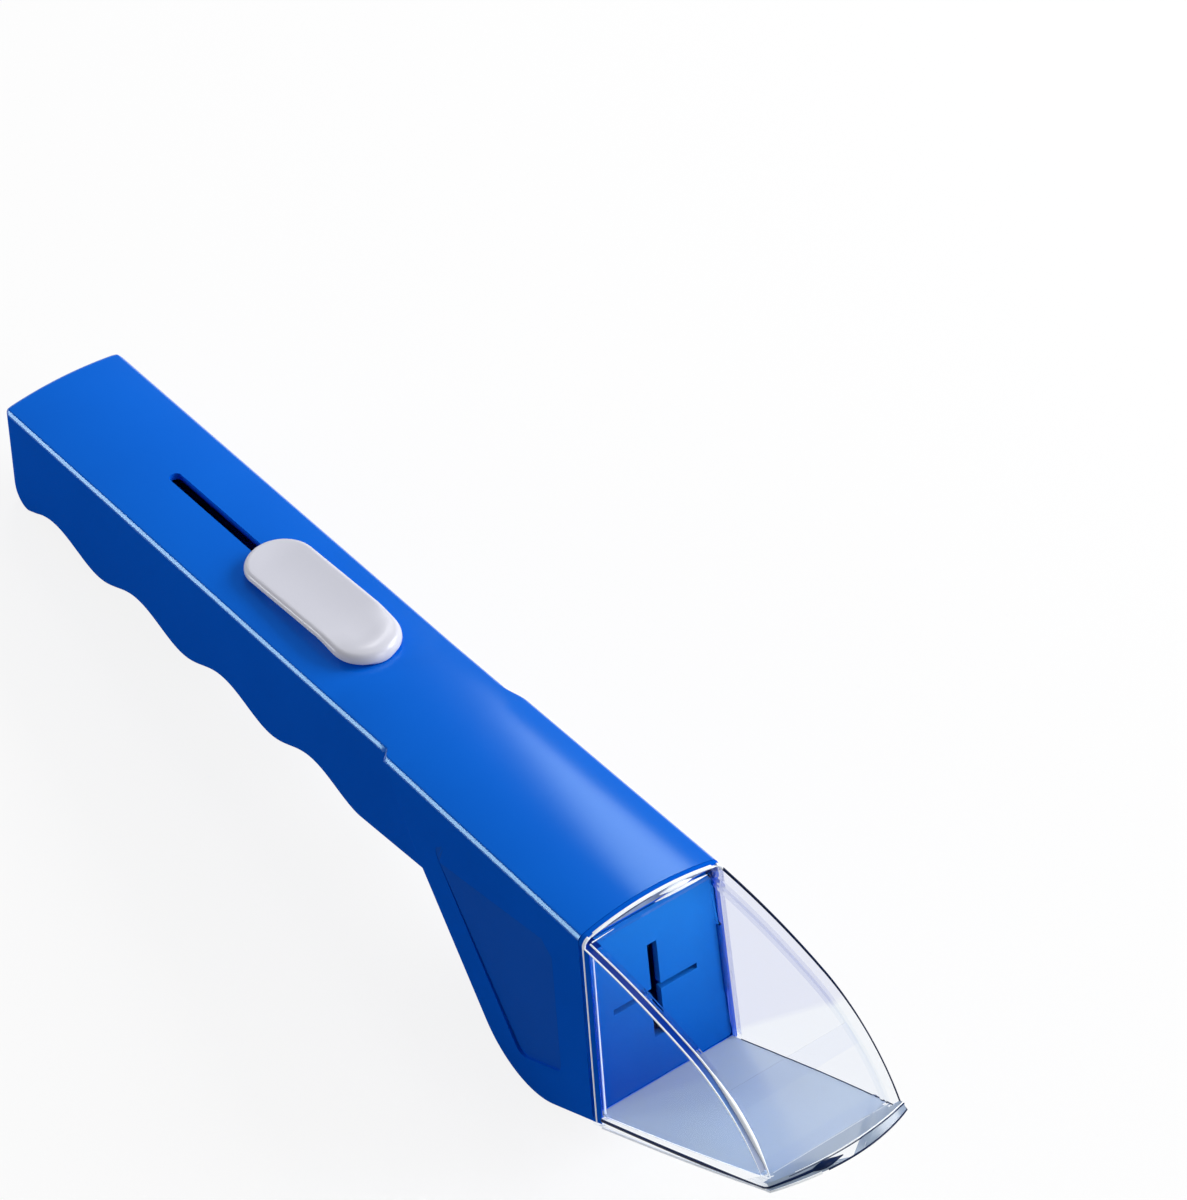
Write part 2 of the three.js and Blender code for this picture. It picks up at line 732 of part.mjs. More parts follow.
function sliderCarriage() {
  const half = handleInnerHalf - runningGap;
  const rear = stemX - carriageLength / 2;
  const front = stemX + carriageLength / 2;
  const outline = rounded(rectangle(rear, front, -half, half, carriageCornerRadius));
  const plate = solid(upward(outline, carriageBottom, carriageThickness));
  const ribY = handleInnerHalf - handleLedgeReach - seatGap - carriageRibThickness / 2;
  const ribs = [-1, 0, 1].map((side) => block(
    rear + carriageCornerRadius, front - carriageCornerRadius,
    side * ribY - carriageRibThickness / 2, side * ribY + carriageRibThickness / 2,
    carriageBottom - carriageRibDepth, carriageBottom + carriageThickness / 2,
  ));
  const stem = stemBlock(0, carriageBottom + carriageThickness / 2, stemTop);
  const pegs = [-1, 1].flatMap((end) => {
    const x = stemX + (end * pegSpacing) / 2;
    const headZ = filmTop + runningGap;
    return [
      post(pegRadius, x, 0, carriageBottom + carriageThickness / 2, headZ + pegHeadHeight / 2),
      post(pegHeadRadius, x, 0, headZ, headZ + pegHeadHeight),
    ];
  });
  return union([plate, ...ribs, stem, ...pegs]);
}

// How far the button's top lies below its crest: it falls evenly to the rear, a little to its sides,
// and steeply round its nose
function buttonFall(x, y) {
  const half = buttonWidth / 2;
  const noseX = buttonLength - buttonRearBack;
  const crestX = noseX - buttonNoseLength;
  const fromCentre = Math.hypot(Math.max(0, x - noseX + half), y);
  const behind = Math.max(0, crestX - x) / (buttonLength - buttonNoseLength);
  const ahead = clamp((x - crestX) / buttonNoseLength, 0, 1);
  const past = clamp((fromCentre - buttonCrestRadius) / (half - buttonCrestRadius), 0, 1);
  return buttonRearDrop * behind + buttonSideDrop * (y / half) ** 2 + buttonNoseDrop * ahead * past ** 2;
}

function buttonRing(shrink, narrowing, z, fall = () => 0) {
  const end = buttonWidth / 2 - shrink;
  const half = end - narrowing;
  const rearX = -buttonRearBack + buttonWidth / 2;
  const frontX = rearX + buttonLength - buttonWidth;
  const points = [];
  for (const [x, from] of [[frontX, -Math.PI / 2], [rearX, Math.PI / 2]]) {
    for (let k = 0; k <= crossSteps; k++) {
      const angle = from + (Math.PI * k) / crossSteps;
      const [alongX, acrossY] = [x + end * Math.cos(angle), half * Math.sin(angle)];
      points.push(new THREE.Vector3(alongX, acrossY, z - fall(alongX, acrossY)));
    }
  }
  return points;
}

function sliderButton() {
  const rings = [buttonRing(0, buttonUndercut, headHeight)];
  for (let k = 0; k <= 2 * edgeSegments; k++) {
    const turn = (Math.PI * k) / (4 * edgeSegments);
    const shrink = buttonEdgeRadius * (1 - Math.cos(turn));
    rings.push(buttonRing(shrink, 0, buttonTop - buttonEdgeRadius * (1 - Math.sin(turn)), buttonFall));
  }
  for (const share of dishShares) {
    const shrink = buttonEdgeRadius + (buttonWidth / 2 - buttonEdgeRadius) * share;
    const dish = thumbDishDepth * Math.sin((Math.PI * share) / 2);
    rings.push(buttonRing(shrink, 0, buttonTop - dish, buttonFall));
  }
  const [x0, x1] = [-buttonRearBack - overrun, -buttonRearBack + buttonLength + overrun];
  const outline = rounded(rectangle(x0, x1, 0, headHeight + seatGap));
  const sheet = across(outline, handleWidth, 0, 0, 2 * crossSteps);
  const below = solid(crowned(sheet, () => handleWidth / 2));
  return loft(rings).subtract(below).subtract(stemBlock(runningGap, 0, stemTop + runningGap));
}

// Finishes

function plastic(color, roughness, opacity = 1) {
  const transparent = opacity < 1;
  return new THREE.MeshStandardMaterial({ color, roughness, metalness: 0, opacity, transparent });
}

const blueShell = plastic('#1560cc', 0.32);
const blueInner = plastic('#166dcd', 0.36);
const clearMoulding = plastic('#eef2f7', 0.08, 0.35);
const clearFilm = plastic('#f4f7fb', 0.06, 0.25);
const whiteButton = plastic('#dfe1e8', 0.38);
const whiteInner = plastic('#d5d7de', 0.5);

// Assembly, stood on the table line that touches the tail's foot and the head's heel

function tableAngle() {
  const tail = rounded(handleProfile());
  const head = rounded(headProfile(0));
  const rearTail = tail.filter((point) => point.x < -2 * headLength);
  const drop = (a, b) => (a.x < b.x ? Math.atan2(a.y - b.y, b.x - a.x) : -Math.PI);
  return Math.min(...rearTail.map((a) => Math.max(...head.map((b) => drop(a, b)))));
}

const shells = housingHalves();
const catcher = new THREE.Group();
catcher.add(
  piece('housing_left', shells.left, blueShell),
  piece('housing_right', shells.right, blueShell),
  piece('bulkhead', bulkhead(), blueInner),
  piece('capture_chamber', captureChamber(), clearMoulding),
  piece('shutter_film', shutterFilm(), clearFilm),
  piece('shutter_lead_edge', shutterLeadEdge(), clearMoulding),
  piece('slider_carriage', sliderCarriage(), whiteInner),
  piece('slider_button', sliderButton(), whiteButton),
);
catcher.rotation.y = -tableAngle();
catcher.updateMatrixWorld(true);
const bounds = new THREE.Box3().setFromObject(catcher, true);
catcher.position.set(-(bounds.min.x + bounds.max.x) / 2, 0, -bounds.min.z);

const model = new THREE.Group();
model.add(catcher);

export default model;
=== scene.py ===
import json
import math

import bmesh
import bpy
from mathutils import Matrix, Vector


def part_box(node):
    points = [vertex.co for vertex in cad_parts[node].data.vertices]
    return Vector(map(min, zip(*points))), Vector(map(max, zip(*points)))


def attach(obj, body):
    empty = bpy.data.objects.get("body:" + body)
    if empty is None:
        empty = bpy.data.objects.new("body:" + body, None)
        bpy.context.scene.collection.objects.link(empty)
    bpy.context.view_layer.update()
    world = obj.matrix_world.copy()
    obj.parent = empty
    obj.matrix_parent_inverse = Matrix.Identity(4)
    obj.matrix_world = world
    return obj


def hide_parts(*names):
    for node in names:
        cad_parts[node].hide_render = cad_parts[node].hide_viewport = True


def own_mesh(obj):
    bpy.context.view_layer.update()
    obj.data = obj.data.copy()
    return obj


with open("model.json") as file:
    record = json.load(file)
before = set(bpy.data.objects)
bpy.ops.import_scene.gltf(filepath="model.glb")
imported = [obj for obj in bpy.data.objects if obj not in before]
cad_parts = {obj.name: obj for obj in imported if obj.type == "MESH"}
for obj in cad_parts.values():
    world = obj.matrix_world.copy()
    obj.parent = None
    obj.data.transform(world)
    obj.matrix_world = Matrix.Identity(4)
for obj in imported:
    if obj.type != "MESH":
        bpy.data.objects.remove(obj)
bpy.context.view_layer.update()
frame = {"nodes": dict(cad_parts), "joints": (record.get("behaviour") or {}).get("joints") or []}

# Spider catcher. Sizes are in millimetres, along the handle: X runs forward from the rim of the head, Y runs
# across, Z runs up from the lowest corner of the rim. PLACE stands that on the table, in metres.
MM = 0.001
SLIDE = next(joint for joint in frame["joints"] if joint["name"] == "shutter_slide")
RISE = math.atan2(SLIDE["axis"][2], SLIDE["axis"][0]) + math.pi
RIM_ABOVE_TABLE = 11.1703
RIM_AT = (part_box("housing_left")[1][0], 0, RIM_ABOVE_TABLE * MM)
PLACE = Matrix.Translation(RIM_AT) @ Matrix.Rotation(-RISE, 4, "Y") @ Matrix.Scale(MM, 4)

# Handle
HANDLE_LENGTH = 137.4
HANDLE_WIDTH = 28.2
GRIP_DEPTH = 22.6
FINGER_DEPTH = 4.2
FINGERS = 4
FIRST_FINGER_IN = 14.4
LAST_FINGER_BACK = 28.8
STEPS_PER_FINGER = 32
TAIL_LEAN = 3.4
TAIL_BOW = 0.5
TAIL_CORNER = 1.8
TAIL_FOOT_DEPTH = 5.4
TAIL_FOOT_RADIUS = 4.5
TAIL_TOP_RADIUS = 1.4

# Head
HEAD_LENGTH = 65
HEAD_HEIGHT = 48
HEAD_WIDTH = 32
HEAD_REAR_WIDTH = 30.6
SIDE_DRAFT = 1.3
FLARE_BACK = 55
FLARE_HEIGHT = 28.5
FLARE_SLOPE = math.tan(math.radians(55.6))
HEEL_RADIUS = 18
FLOOR_SLOPE = math.tan(math.radians(24.3))
NEAR_JOIN = 1.6
FAR_JOIN = 6
CROWN_RUN_IN = 20
PANEL_INSET = 9.5
PANEL_DEPTH = 0.6
PANEL_RADIUS = 3

# Shell
WALL = 1.5
EDGE_RADIUS = 1
EDGE_ARC = 0.6
TAIL_CROWN = 0.9
HEAD_CROWN = 2.3
SLOT_WIDTH = 2.6
SLOT_END_RADIUS = 1.287
SLOT_REAR_BACK = 159.8
RIB_THICKNESS = 1.2
RIB_REACH = 2
BULKHEAD_THICKNESS = 1.6

# Button and its stem
BUTTON_LENGTH = 43.6
BUTTON_WIDTH = 14.8
BUTTON_RISE = 5.2
BUTTON_REAR_BACK = 127.7
BUTTON_EDGE_RADIUS = 1.1
BUTTON_SIDE_UNDERCUT = 1.56
BUTTON_REAR_DROP = 1.4
BUTTON_NOSE_LENGTH = 12
BUTTON_NOSE_DROP = 1.8
BUTTON_CREST_RADIUS = 2.5
BUTTON_SIDE_DROP = 0.3
THUMB_DISH_DEPTH = 0.5
STEM_LENGTH = 8

# Shutter and rails
FILM_THICKNESS = 0.3
FILM_ENGAGEMENT = 0.5
TAIL_FILM_WIDTH = 22.4
RAIL_DROP = 1.6
REAR_RAIL_RADIUS = 132.6
REAR_RAIL_ANGLE = math.radians(14)
FRONT_RAIL_RADIUS = 32
RAIL_FLANGE = 0.6
RAIL_LEDGE = 1
RAIL_REACH = 2.9
CARRIAGE_LENGTH = 38
CARRIAGE_CORNER = 2.5

# Chamber
CHAMBER_WALL = 1.6
TIP_TAPER = 1
RIM_DEPTH = 1.4
RIM_WIDTH = 2.3
RIM_CORNER = 2
LIP_CORNER_REACH = 2
LIP_BOW = 4.3
LIP_CORNER_BEVEL = 0.9
LIP_BEVEL = 2.4
VENT_BAR = (2.2, 24)
VENT_CROSS = (19, 1.4)
VENT_HEIGHT = 24.2
TAB_LENGTH = 7
TAB_HEIGHT = 18
TAB_THICKNESS = 0.8
TAB_HOOK = 0.5
TAB_HOOK_LENGTH = 1.6
TAB_CENTRE = 24

# Clearances and the reach of a cut past what it cuts
RUNNING_GAP = 0.15
SEAT_GAP = 0.3
OVERRUN = 3

RIM_X = RUNNING_GAP
RIM_FRONT = RIM_X + RIM_DEPTH
RIM_START = RIM_X + 0.05
RAIL_TOP = HEAD_HEIGHT - RAIL_DROP
FILM_TOP_INSET = RAIL_FLANGE + RUNNING_GAP
FILM_BOTTOM_INSET = FILM_TOP_INSET + FILM_THICKNESS
LEDGE_INSET = FILM_BOTTOM_INSET + RUNNING_GAP
RAIL_HALF = HEAD_WIDTH / 2 - RAIL_REACH
FILM_HALF = RAIL_HALF + FILM_ENGAGEMENT
FLOOR_RISE = CHAMBER_WALL * math.hypot(1, FLOOR_SLOPE)
SHELL_FLOOR_RISE = WALL * math.hypot(1, FLOOR_SLOPE)
TAIL_X = -HEAD_LENGTH - HANDLE_LENGTH
GRIP_Z = HEAD_HEIGHT - GRIP_DEPTH
FINGER_PITCH = (HANDLE_LENGTH - FIRST_FINGER_IN - LAST_FINGER_BACK) / (FINGERS - 1)
RIB_FRONT = -SEAT_GAP - BULKHEAD_THICKNESS - RUNNING_GAP
BUTTON_TOP = HEAD_HEIGHT + BUTTON_RISE
NOSE_X = BUTTON_LENGTH - BUTTON_REAR_BACK


# Outlines: a corner is x, z and the radius that rounds it, and an outline runs anticlockwise

def turn_at(corners, i):
    before, here, after = (Vector(corners[k % len(corners)][:2]) for k in (i - 1, i, i + 1))
    inward, outward = (here - before).normalized(), (after - here).normalized()
    cross = inward.x * outward.y - inward.y * outward.x
    angle = math.acos(max(-1, min(1, inward.dot(outward))))
    return inward, outward, math.copysign(1, cross), angle


def inset(corners, distance):
    moved = []
    for i, (x, z, radius) in enumerate(corners):
        inward, outward, side, angle = turn_at(corners, i)
        normal = Vector((-inward.y - outward.y, inward.x + outward.x)).normalized()
        shift = distance / math.cos(angle / 2)
        kept = max(radius - side * distance, 0.05) if radius > 0 else 0
        moved.append((x + normal.x * shift, z + normal.y * shift, kept))
    return moved


def rounded(corners, step=math.radians(5)):
    points = []
    for i, (x, z, radius) in enumerate(corners):
        inward, _, side, angle = turn_at(corners, i)
        here = Vector((x, z))
        if radius == 0:
            points.append(here)
            continue
        start = here - inward * radius * math.tan(angle / 2)
        spoke = Vector((inward.y, -inward.x)) * side * radius
        centre = start - spoke
        steps = max(3, math.ceil(angle / step))
        for k in range(steps + 1):
            points.append(centre + Matrix.Rotation(side * angle * k / steps, 2) @ spoke)
    return points


def rectangle(x0, x1, y0, y1, radius=0):
    return rounded([(x0, y0, radius), (x1, y0, radius), (x1, y1, radius), (x0, y1, radius)])


# Meshes

def new_piece(name, build, *materials):
    mesh = bpy.data.meshes.new(name)
    build.to_mesh(mesh)
    build.free()
    piece = bpy.data.objects.new(name, mesh)
    bpy.context.scene.collection.objects.link(piece)
    for material in materials:
        mesh.materials.append(material)
    return piece


def skin(rings):
    """A closed skin over rings of equally many points along the handle, stood in its place."""
    build = bmesh.new()
    rows = [[build.verts.new(PLACE @ Vector(p)) for p in ring] for ring in rings]
    count = len(rows[0])
    for low, high in zip(rows, rows[1:]):
        for i in range(count):
            build.faces.new((low[i], low[(i + 1) % count], high[(i + 1) % count], high[i]))
    ends = [build.faces.new(rows[0][::-1]), build.faces.new(rows[-1])]
    bmesh.ops.recalc_face_normals(build, faces=build.faces)
    bmesh.ops.triangulate(build, faces=ends)
    return build


def across(points, y0, y1):
    """A side outline carried straight across the object."""
    return skin([[(p.x, y, p.y) for p in points] for y in (y0, y1)])


def drafted(y, z):
    return y + math.copysign(draft_at(z), y)


def forward(points, x0, x1):
    """A section, y and z, carried forward, with the sides' draft."""
    return skin([[(x, drafted(y, z), z) for y, z in points] for x in (x0, x1)])


def block(x0, x1, y0, y1, z0, z1):
    return skin([[(x, y0, z0), (x, y1, z0), (x, y1, z1), (x, y0, z1)] for x in (x0, x1)])


def combine(piece, operation, build):
    """Joins a solid to the piece, or cuts it away, and keeps the resulting mesh."""
    tool = new_piece("tool", build, *piece.data.materials)
    step = piece.modifiers.new(operation, "BOOLEAN")
    step.operation, step.object, step.solver = operation, tool, "MANIFOLD"
    graph = bpy.context.evaluated_depsgraph_get()
    result = bpy.data.meshes.new_from_object(piece.evaluated_get(graph))
    piece.modifiers.clear()
    old = piece.data
    piece.data = result
    bpy.data.meshes.remove(old)
    bpy.data.objects.remove(tool)


def finish_faces(piece, crease, pick=None):
    """Smooths all but the creases. pick names each face's material by its normal and place."""
    level = PLACE.inverted()
    level_turn = Matrix.Rotation(RISE, 3, "Y")
    build = bmesh.new()
    build.from_mesh(piece.data)
    for face in build.faces:
        face.smooth = True
        if pick:
            face.material_index = pick(level_turn @ face.normal, level @ face.calc_center_median())
    for edge in build.edges:
        edge.smooth = len(edge.link_faces) == 2 and edge.calc_face_angle(0) < math.radians(crease)
    build.to_mesh(piece.data)
    build.free()
    piece.modifiers.new("even_faces", "WEIGHTED_NORMAL").keep_sharp = True


def edge_lines(name, material, lines):
    """Round lines laid along edges: each is its points, and the widths it passes through along its way."""
    curve = bpy.data.curves.new(name, "CURVE")
    curve.dimensions = "3D"
    curve.bevel_depth = MM / 2
    curve.bevel_resolution = 2
    curve.use_fill_caps = True
    for points, widths in lines:
        spline = curve.splines.new("POLY")
        spline.points.add(len(points) - 1)
        spline.use_smooth = True
        for k, point in enumerate(points):
            along = k / (len(points) - 1) * (len(widths) - 1)
            i = min(int(along), len(widths) - 2)
            spline.points[k].co = (*(PLACE @ Vector(point)), 1)
            spline.points[k].radius = widths[i] + (widths[i + 1] - widths[i]) * (along - i)
    curve.materials.append(material)
    piece = bpy.data.objects.new(name, curve)
    bpy.context.scene.collection.objects.link(piece)
    return piece


# Forms of the shell

def crown_at(x):
    return TAIL_CROWN + (HEAD_CROWN - TAIL_CROWN) * (x - TAIL_X) / -TAIL_X


def draft_at(z):
    return SIDE_DRAFT * (1 - z / HEAD_HEIGHT)


def head_half_at(x, z=HEAD_HEIGHT):
    return (HEAD_REAR_WIDTH + (HEAD_WIDTH - HEAD_REAR_WIDTH) * (x / HEAD_LENGTH + 1)) / 2 + draft_at(z)


def ease(share):
    share = max(0, min(1, share))
    return share ** 2 * (3 - 2 * share)


def crown_half_at(x):
    """The handle's crown widens to the head's over its last stretch, so no step shows across the top."""
    if x > -HEAD_LENGTH:
        return head_half_at(x)
    widening = ease((x + HEAD_LENGTH) / CROWN_RUN_IN + 1)
    return HANDLE_WIDTH / 2 + (HEAD_REAR_WIDTH - HANDLE_WIDTH) / 2 * widening


def crowned(x, y, z):
    share = max(0, min(1, 2 * z / HEAD_HEIGHT - 1))
    return z + share * crown_at(x) * (1 - (y / crown_half_at(x)) ** 2)


def finger_wave():
    first = -HEAD_LENGTH - LAST_FINGER_BACK - (FINGERS - 1) * FINGER_PITCH
    corners = []
    for k in range(STEPS_PER_FINGER // 4, FINGERS * STEPS_PER_FINGER + 1):
        phase = k / STEPS_PER_FINGER - 1 / 2
        drop = FINGER_DEPTH * (1 - math.cos(2 * math.pi * phase)) / 2
        corners.append((first + phase * FINGER_PITCH, GRIP_Z - drop, 0))
    return corners


def handle_profile():
    neck_z = GRIP_Z - FINGER_DEPTH / 2
    neck_x = -FLARE_BACK + (FLARE_HEIGHT - neck_z) / FLARE_SLOPE + WALL
    return [
        (TAIL_X - TAIL_LEAN, GRIP_Z - TAIL_FOOT_DEPTH, TAIL_FOOT_RADIUS),
        *finger_wave(),
        (neck_x, neck_z, 0),
        (neck_x, HEAD_HEIGHT - WALL, 0),
        (WALL - HEAD_LENGTH, HEAD_HEIGHT - WALL, 0),
        *[(-HEAD_LENGTH - CROWN_RUN_IN * k / 8, HEAD_HEIGHT, 0) for k in range(9)],
        (TAIL_X, HEAD_HEIGHT, TAIL_TOP_RADIUS),
    ]


def head_profile(front):
    heel_x = (FLARE_HEIGHT - FLARE_BACK * FLARE_SLOPE) / (FLOOR_SLOPE + FLARE_SLOPE)
    return [
        (front, front * FLOOR_SLOPE, 0),
        (front, HEAD_HEIGHT, 0),
        *[(FAR_JOIN * k / 12 - HEAD_LENGTH, HEAD_HEIGHT, 0) for k in range(12, -1, -1)],
        (-FLARE_BACK, FLARE_HEIGHT, HEEL_RADIUS),
        (heel_x, heel_x * FLOOR_SLOPE, HEEL_RADIUS),
    ]


def side_rings(corners, half, edge):
    """Rings of an outline from side to side. Each side edge is two small arcs with a flat between."""
    turns = [math.radians(9 * k) for k in range(6)]
    arc = [(edge - EDGE_ARC * math.sin(turn), EDGE_ARC * (1 - math.cos(turn))) for turn in turns]
    path = arc + [(in_from_side, depth) for depth, in_from_side in arc[:0:-1]] if edge else []
    rings = [(depth, in_from_side - half) for depth, in_from_side in path]
    rings += [(0, (half - edge) * k / 14) for k in range(-14, 15)]
    rings += [(depth, half - in_from_side) for depth, in_from_side in path[::-1]]
    return [[(p.x, y, p.y) for p in rounded(inset(corners, depth))] for depth, y in rings]


def bowed(x, y, half, corner_radius):
    """The tail bows out in the middle, and its two upright corners are rounded."""
    reach = TAIL_LEAN + 2 * TAIL_FOOT_RADIUS
    share = max(0, min(1, (TAIL_X - TAIL_LEAN + reach - x) / reach))
    past = max(0, min(1, (abs(y) - half + corner_radius) / corner_radius))
    rounding = corner_radius * (1 - math.sqrt(1 - past ** 2))
    return x + share * (TAIL_BOW * (y / half) ** 2 + rounding)


def handle_body(depth):
    half = HANDLE_WIDTH / 2 - depth
    rings = side_rings(inset(handle_profile(), depth), half, 0 if depth else EDGE_RADIUS)
    return skin([
        [(bowed(x, y, half, TAIL_CORNER - depth), y, crowned(x, y, z)) for x, y, z in ring]
        for ring in rings
    ])


def head_body(depth, front):
    rings = side_rings(inset(head_profile(front), depth), HEAD_WIDTH / 2, 0 if depth else EDGE_RADIUS)
    placed = []
    for ring in rings:
        widened = [(x, y * (joined_half_at(x, y, z) - depth) / (HEAD_WIDTH / 2), z) for x, y, z in ring]
        placed.append([(x, y, crowned(x, y, z)) for x, y, z in widened])
    return skin(placed)


def joined_half_at(x, y, z):
    """The head's half width, drawn in at its rear to the handle: softly on the far side, a notch near."""
    wide = ease((x + HEAD_LENGTH) / (FAR_JOIN if y > 0 else NEAR_JOIN))
    return HANDLE_WIDTH / 2 + (head_half_at(x, z) - HANDLE_WIDTH / 2) * wide


def side_panel(side):
    """The shallow panel in each side of the head, deepest at its foot and fading out at its top."""
    profile = head_profile(0)
    corners = [corner for i, corner in enumerate(profile) if turn_at(profile, i)[3] > 0.01]
    points = rounded([(x, z, PANEL_RADIUS) for x, z, _ in inset(corners, PANEL_INSET)])
    top, bottom = max(p.y for p in points), min(p.y for p in points)
    sunk, past = [], []
    for p in points:
        depth = PANEL_DEPTH * (top - p.y) / (top - bottom)
        sunk.append((p.x, side * (head_half_at(p.x, p.y) - depth), p.y))
        past.append((p.x, side * (head_half_at(p.x, p.y) + OVERRUN), p.y))
    return skin([sunk, past])


def mouth_rib():
    """The rib in the mouth of the head that the bulkhead rests against."""
    rear = RIB_FRONT - RIB_THICKNESS
    outer, inner = head_half_at(rear) - WALL / 2, head_half_at(rear) - WALL - RIB_REACH
    bottom = rear * FLOOR_SLOPE + SHELL_FLOOR_RISE
    top = RAIL_TOP - LEDGE_INSET
    return forward([
        (-outer, bottom - WALL / 2), (outer, bottom - WALL / 2), (outer, top), (inner, top),
        (inner, bottom + RIB_REACH), (-inner, bottom + RIB_REACH), (-inner, top), (-outer, top),
    ], rear, RIB_FRONT)


def mouth_lintel():
    """The lintel across the mouth above the shutter, let into the crowned top wall."""
    rear = RIB_FRONT - RIB_THICKNESS
    half = head_half_at(rear) - WALL / 2
    bottom = RAIL_TOP - FILM_TOP_INSET + SEAT_GAP
    shares = [1 - k / 12 for k in range(25)]
    top = [(half * s, HEAD_HEIGHT - WALL / 2 + crown_at(rear) * (1 - s ** 2)) for s in shares]
    return skin([[(x, y, z) for y, z in [(-half, bottom), (half, bottom), *top]] for x in (rear, 0)])


def bulkhead_plate():
    rear = -SEAT_GAP - BULKHEAD_THICKNESS
    half = head_half_at(rear) - WALL - RUNNING_GAP
    bottom = SHELL_FLOOR_RISE + RUNNING_GAP - SEAT_GAP * FLOOR_SLOPE
    outline = rectangle(-half, half, bottom, RAIL_TOP - LEDGE_INSET, EDGE_RADIUS)
    return forward([(p.x, p.y) for p in outline], rear, -SEAT_GAP)


# Rails and shutter follow one curve: a shallow arc that runs into a tight one, down to the scoop's floor

REAR_CENTRE = Vector((0, RAIL_TOP - REAR_RAIL_RADIUS))
RAIL_JOINT = Vector((math.sin(REAR_RAIL_ANGLE), math.cos(REAR_RAIL_ANGLE)))
FRONT_CENTRE = REAR_CENTRE + RAIL_JOINT * (REAR_RAIL_RADIUS - FRONT_RAIL_RADIUS)
CENTRE_OVER_FLOOR = (FRONT_CENTRE.y - FRONT_CENTRE.x * FLOOR_SLOPE - FLOOR_RISE) / math.hypot(1, FLOOR_SLOPE)
RAIL_END_ANGLE = math.acos(-CENTRE_OVER_FLOOR / FRONT_RAIL_RADIUS) - math.atan(FLOOR_SLOPE)
SHUTTER_END_ANGLE = RAIL_END_ANGLE - (SEAT_GAP + RUNNING_GAP) / FRONT_RAIL_RADIUS


def rail_curve(depth, end_angle=RAIL_END_ANGLE, rear_lead=0):
    points = [Vector((-rear_lead, RAIL_TOP - depth))] if rear_lead else []
    for centre, radius, begin, stop, steps in (
        (REAR_CENTRE, REAR_RAIL_RADIUS - depth, 0, REAR_RAIL_ANGLE, 10),
        (FRONT_CENTRE, FRONT_RAIL_RADIUS - depth, REAR_RAIL_ANGLE, end_angle, 30),
    ):
        for k in range(1 if begin else 0, steps + 1):
            angle = begin + (stop - begin) * k / steps
            points.append(centre + Vector((math.sin(angle), math.cos(angle))) * radius)
    return points


def rail_band(outer, inner):
    """A rail's side outline between two depths, from just inside the rim to the tip."""
    outline = rail_curve(inner) + rail_curve(outer)[::-1]
    return [Vector((max(p.x, RIM_START), p.y)) for p in outline]


RAIL_POINTS = [p for p in rail_curve(0) if p.x > RIM_START]
RAIL_END = RAIL_POINTS[-1]
TRAVEL = SLIDE["range_m"][1] / MM
STEM_X = -SLOT_REAR_BACK + SEAT_GAP + STEM_LENGTH / 2 + TRAVEL


# Forms of the chamber

def chamber_half_at(x, z):
    return HEAD_WIDTH / 2 + draft_at(z) - TIP_TAPER * max(0, min(1, x / RAIL_END.x)) ** 3


def side_wall(side):
    rings = []
    for p in [Vector((RIM_START, RAIL_TOP)), *RAIL_POINTS]:
        foot = p.x * FLOOR_SLOPE + FLOOR_RISE / 2
        ring = [(foot, 0), (p.y, 0), (p.y, CHAMBER_WALL), (foot, CHAMBER_WALL)]
        rings.append([(p.x, side * (chamber_half_at(p.x, z) - d), z) for z, d in ring])
    return skin(rings)


def on_floor(x, share, rise):
    z = x * FLOOR_SLOPE + rise
    return Vector((x, share * chamber_half_at(x, z), z))


def lip_line(corner_reach, bow, rise):
    shares = [k / 12 for k in range(-12, 13)]
    return [on_floor(RAIL_END.x + corner_reach + bow * (1 - s ** 2), s, rise) for s in shares]


def floor_ring(corner_reach, bow, rise):
    sides = [RIM_START] + [p.x for p in RAIL_POINTS[:-1]]
    lip = lip_line(corner_reach, bow, rise)
    return [on_floor(x, -1, rise) for x in sides] + lip + [on_floor(x, 1, rise) for x in sides[::-1]]


FLOOR_FOOT = (LIP_CORNER_REACH, LIP_BOW, 0)
FLOOR_TOP = (LIP_CORNER_REACH - LIP_CORNER_BEVEL, LIP_BOW - LIP_BEVEL + LIP_CORNER_BEVEL, FLOOR_RISE)


def rim_outline(depth=0):
    half = HEAD_WIDTH / 2
    shares = [1 - k / 12 for k in range(1, 24)]
    crown = [(half * s, HEAD_HEIGHT + HEAD_CROWN * (1 - s ** 2), 0) for s in shares]
    corners = [(-half, 0, RIM_CORNER), (half, 0, RIM_CORNER), (half, HEAD_HEIGHT, RIM_CORNER), *crown,
               (-half, HEAD_HEIGHT, RIM_CORNER)]
    return rounded(inset(corners, depth))


def rim_opening():
    half = HEAD_WIDTH / 2 - RIM_WIDTH
    return rectangle(-half, half, CHAMBER_WALL, RAIL_TOP - RAIL_FLANGE, EDGE_RADIUS)


def snap_tab(side):
    outer = head_half_at(-TAB_LENGTH) - WALL - RUNNING_GAP
    inner = outer - TAB_THICKNESS
    outline = [
        (RIM_FRONT, inner), (RIM_FRONT, outer), (TAB_HOOK_LENGTH - TAB_LENGTH, outer),
        (TAB_HOOK_LENGTH - TAB_LENGTH, outer + TAB_HOOK), (-TAB_LENGTH, outer), (-TAB_LENGTH, inner),
    ]
    levels = [TAB_CENTRE - TAB_HEIGHT / 2, TAB_CENTRE + TAB_HEIGHT / 2]
    return skin([[(x, side * (y + draft_at(z)), z) for x, y in outline] for z in levels])


# Forms of the button

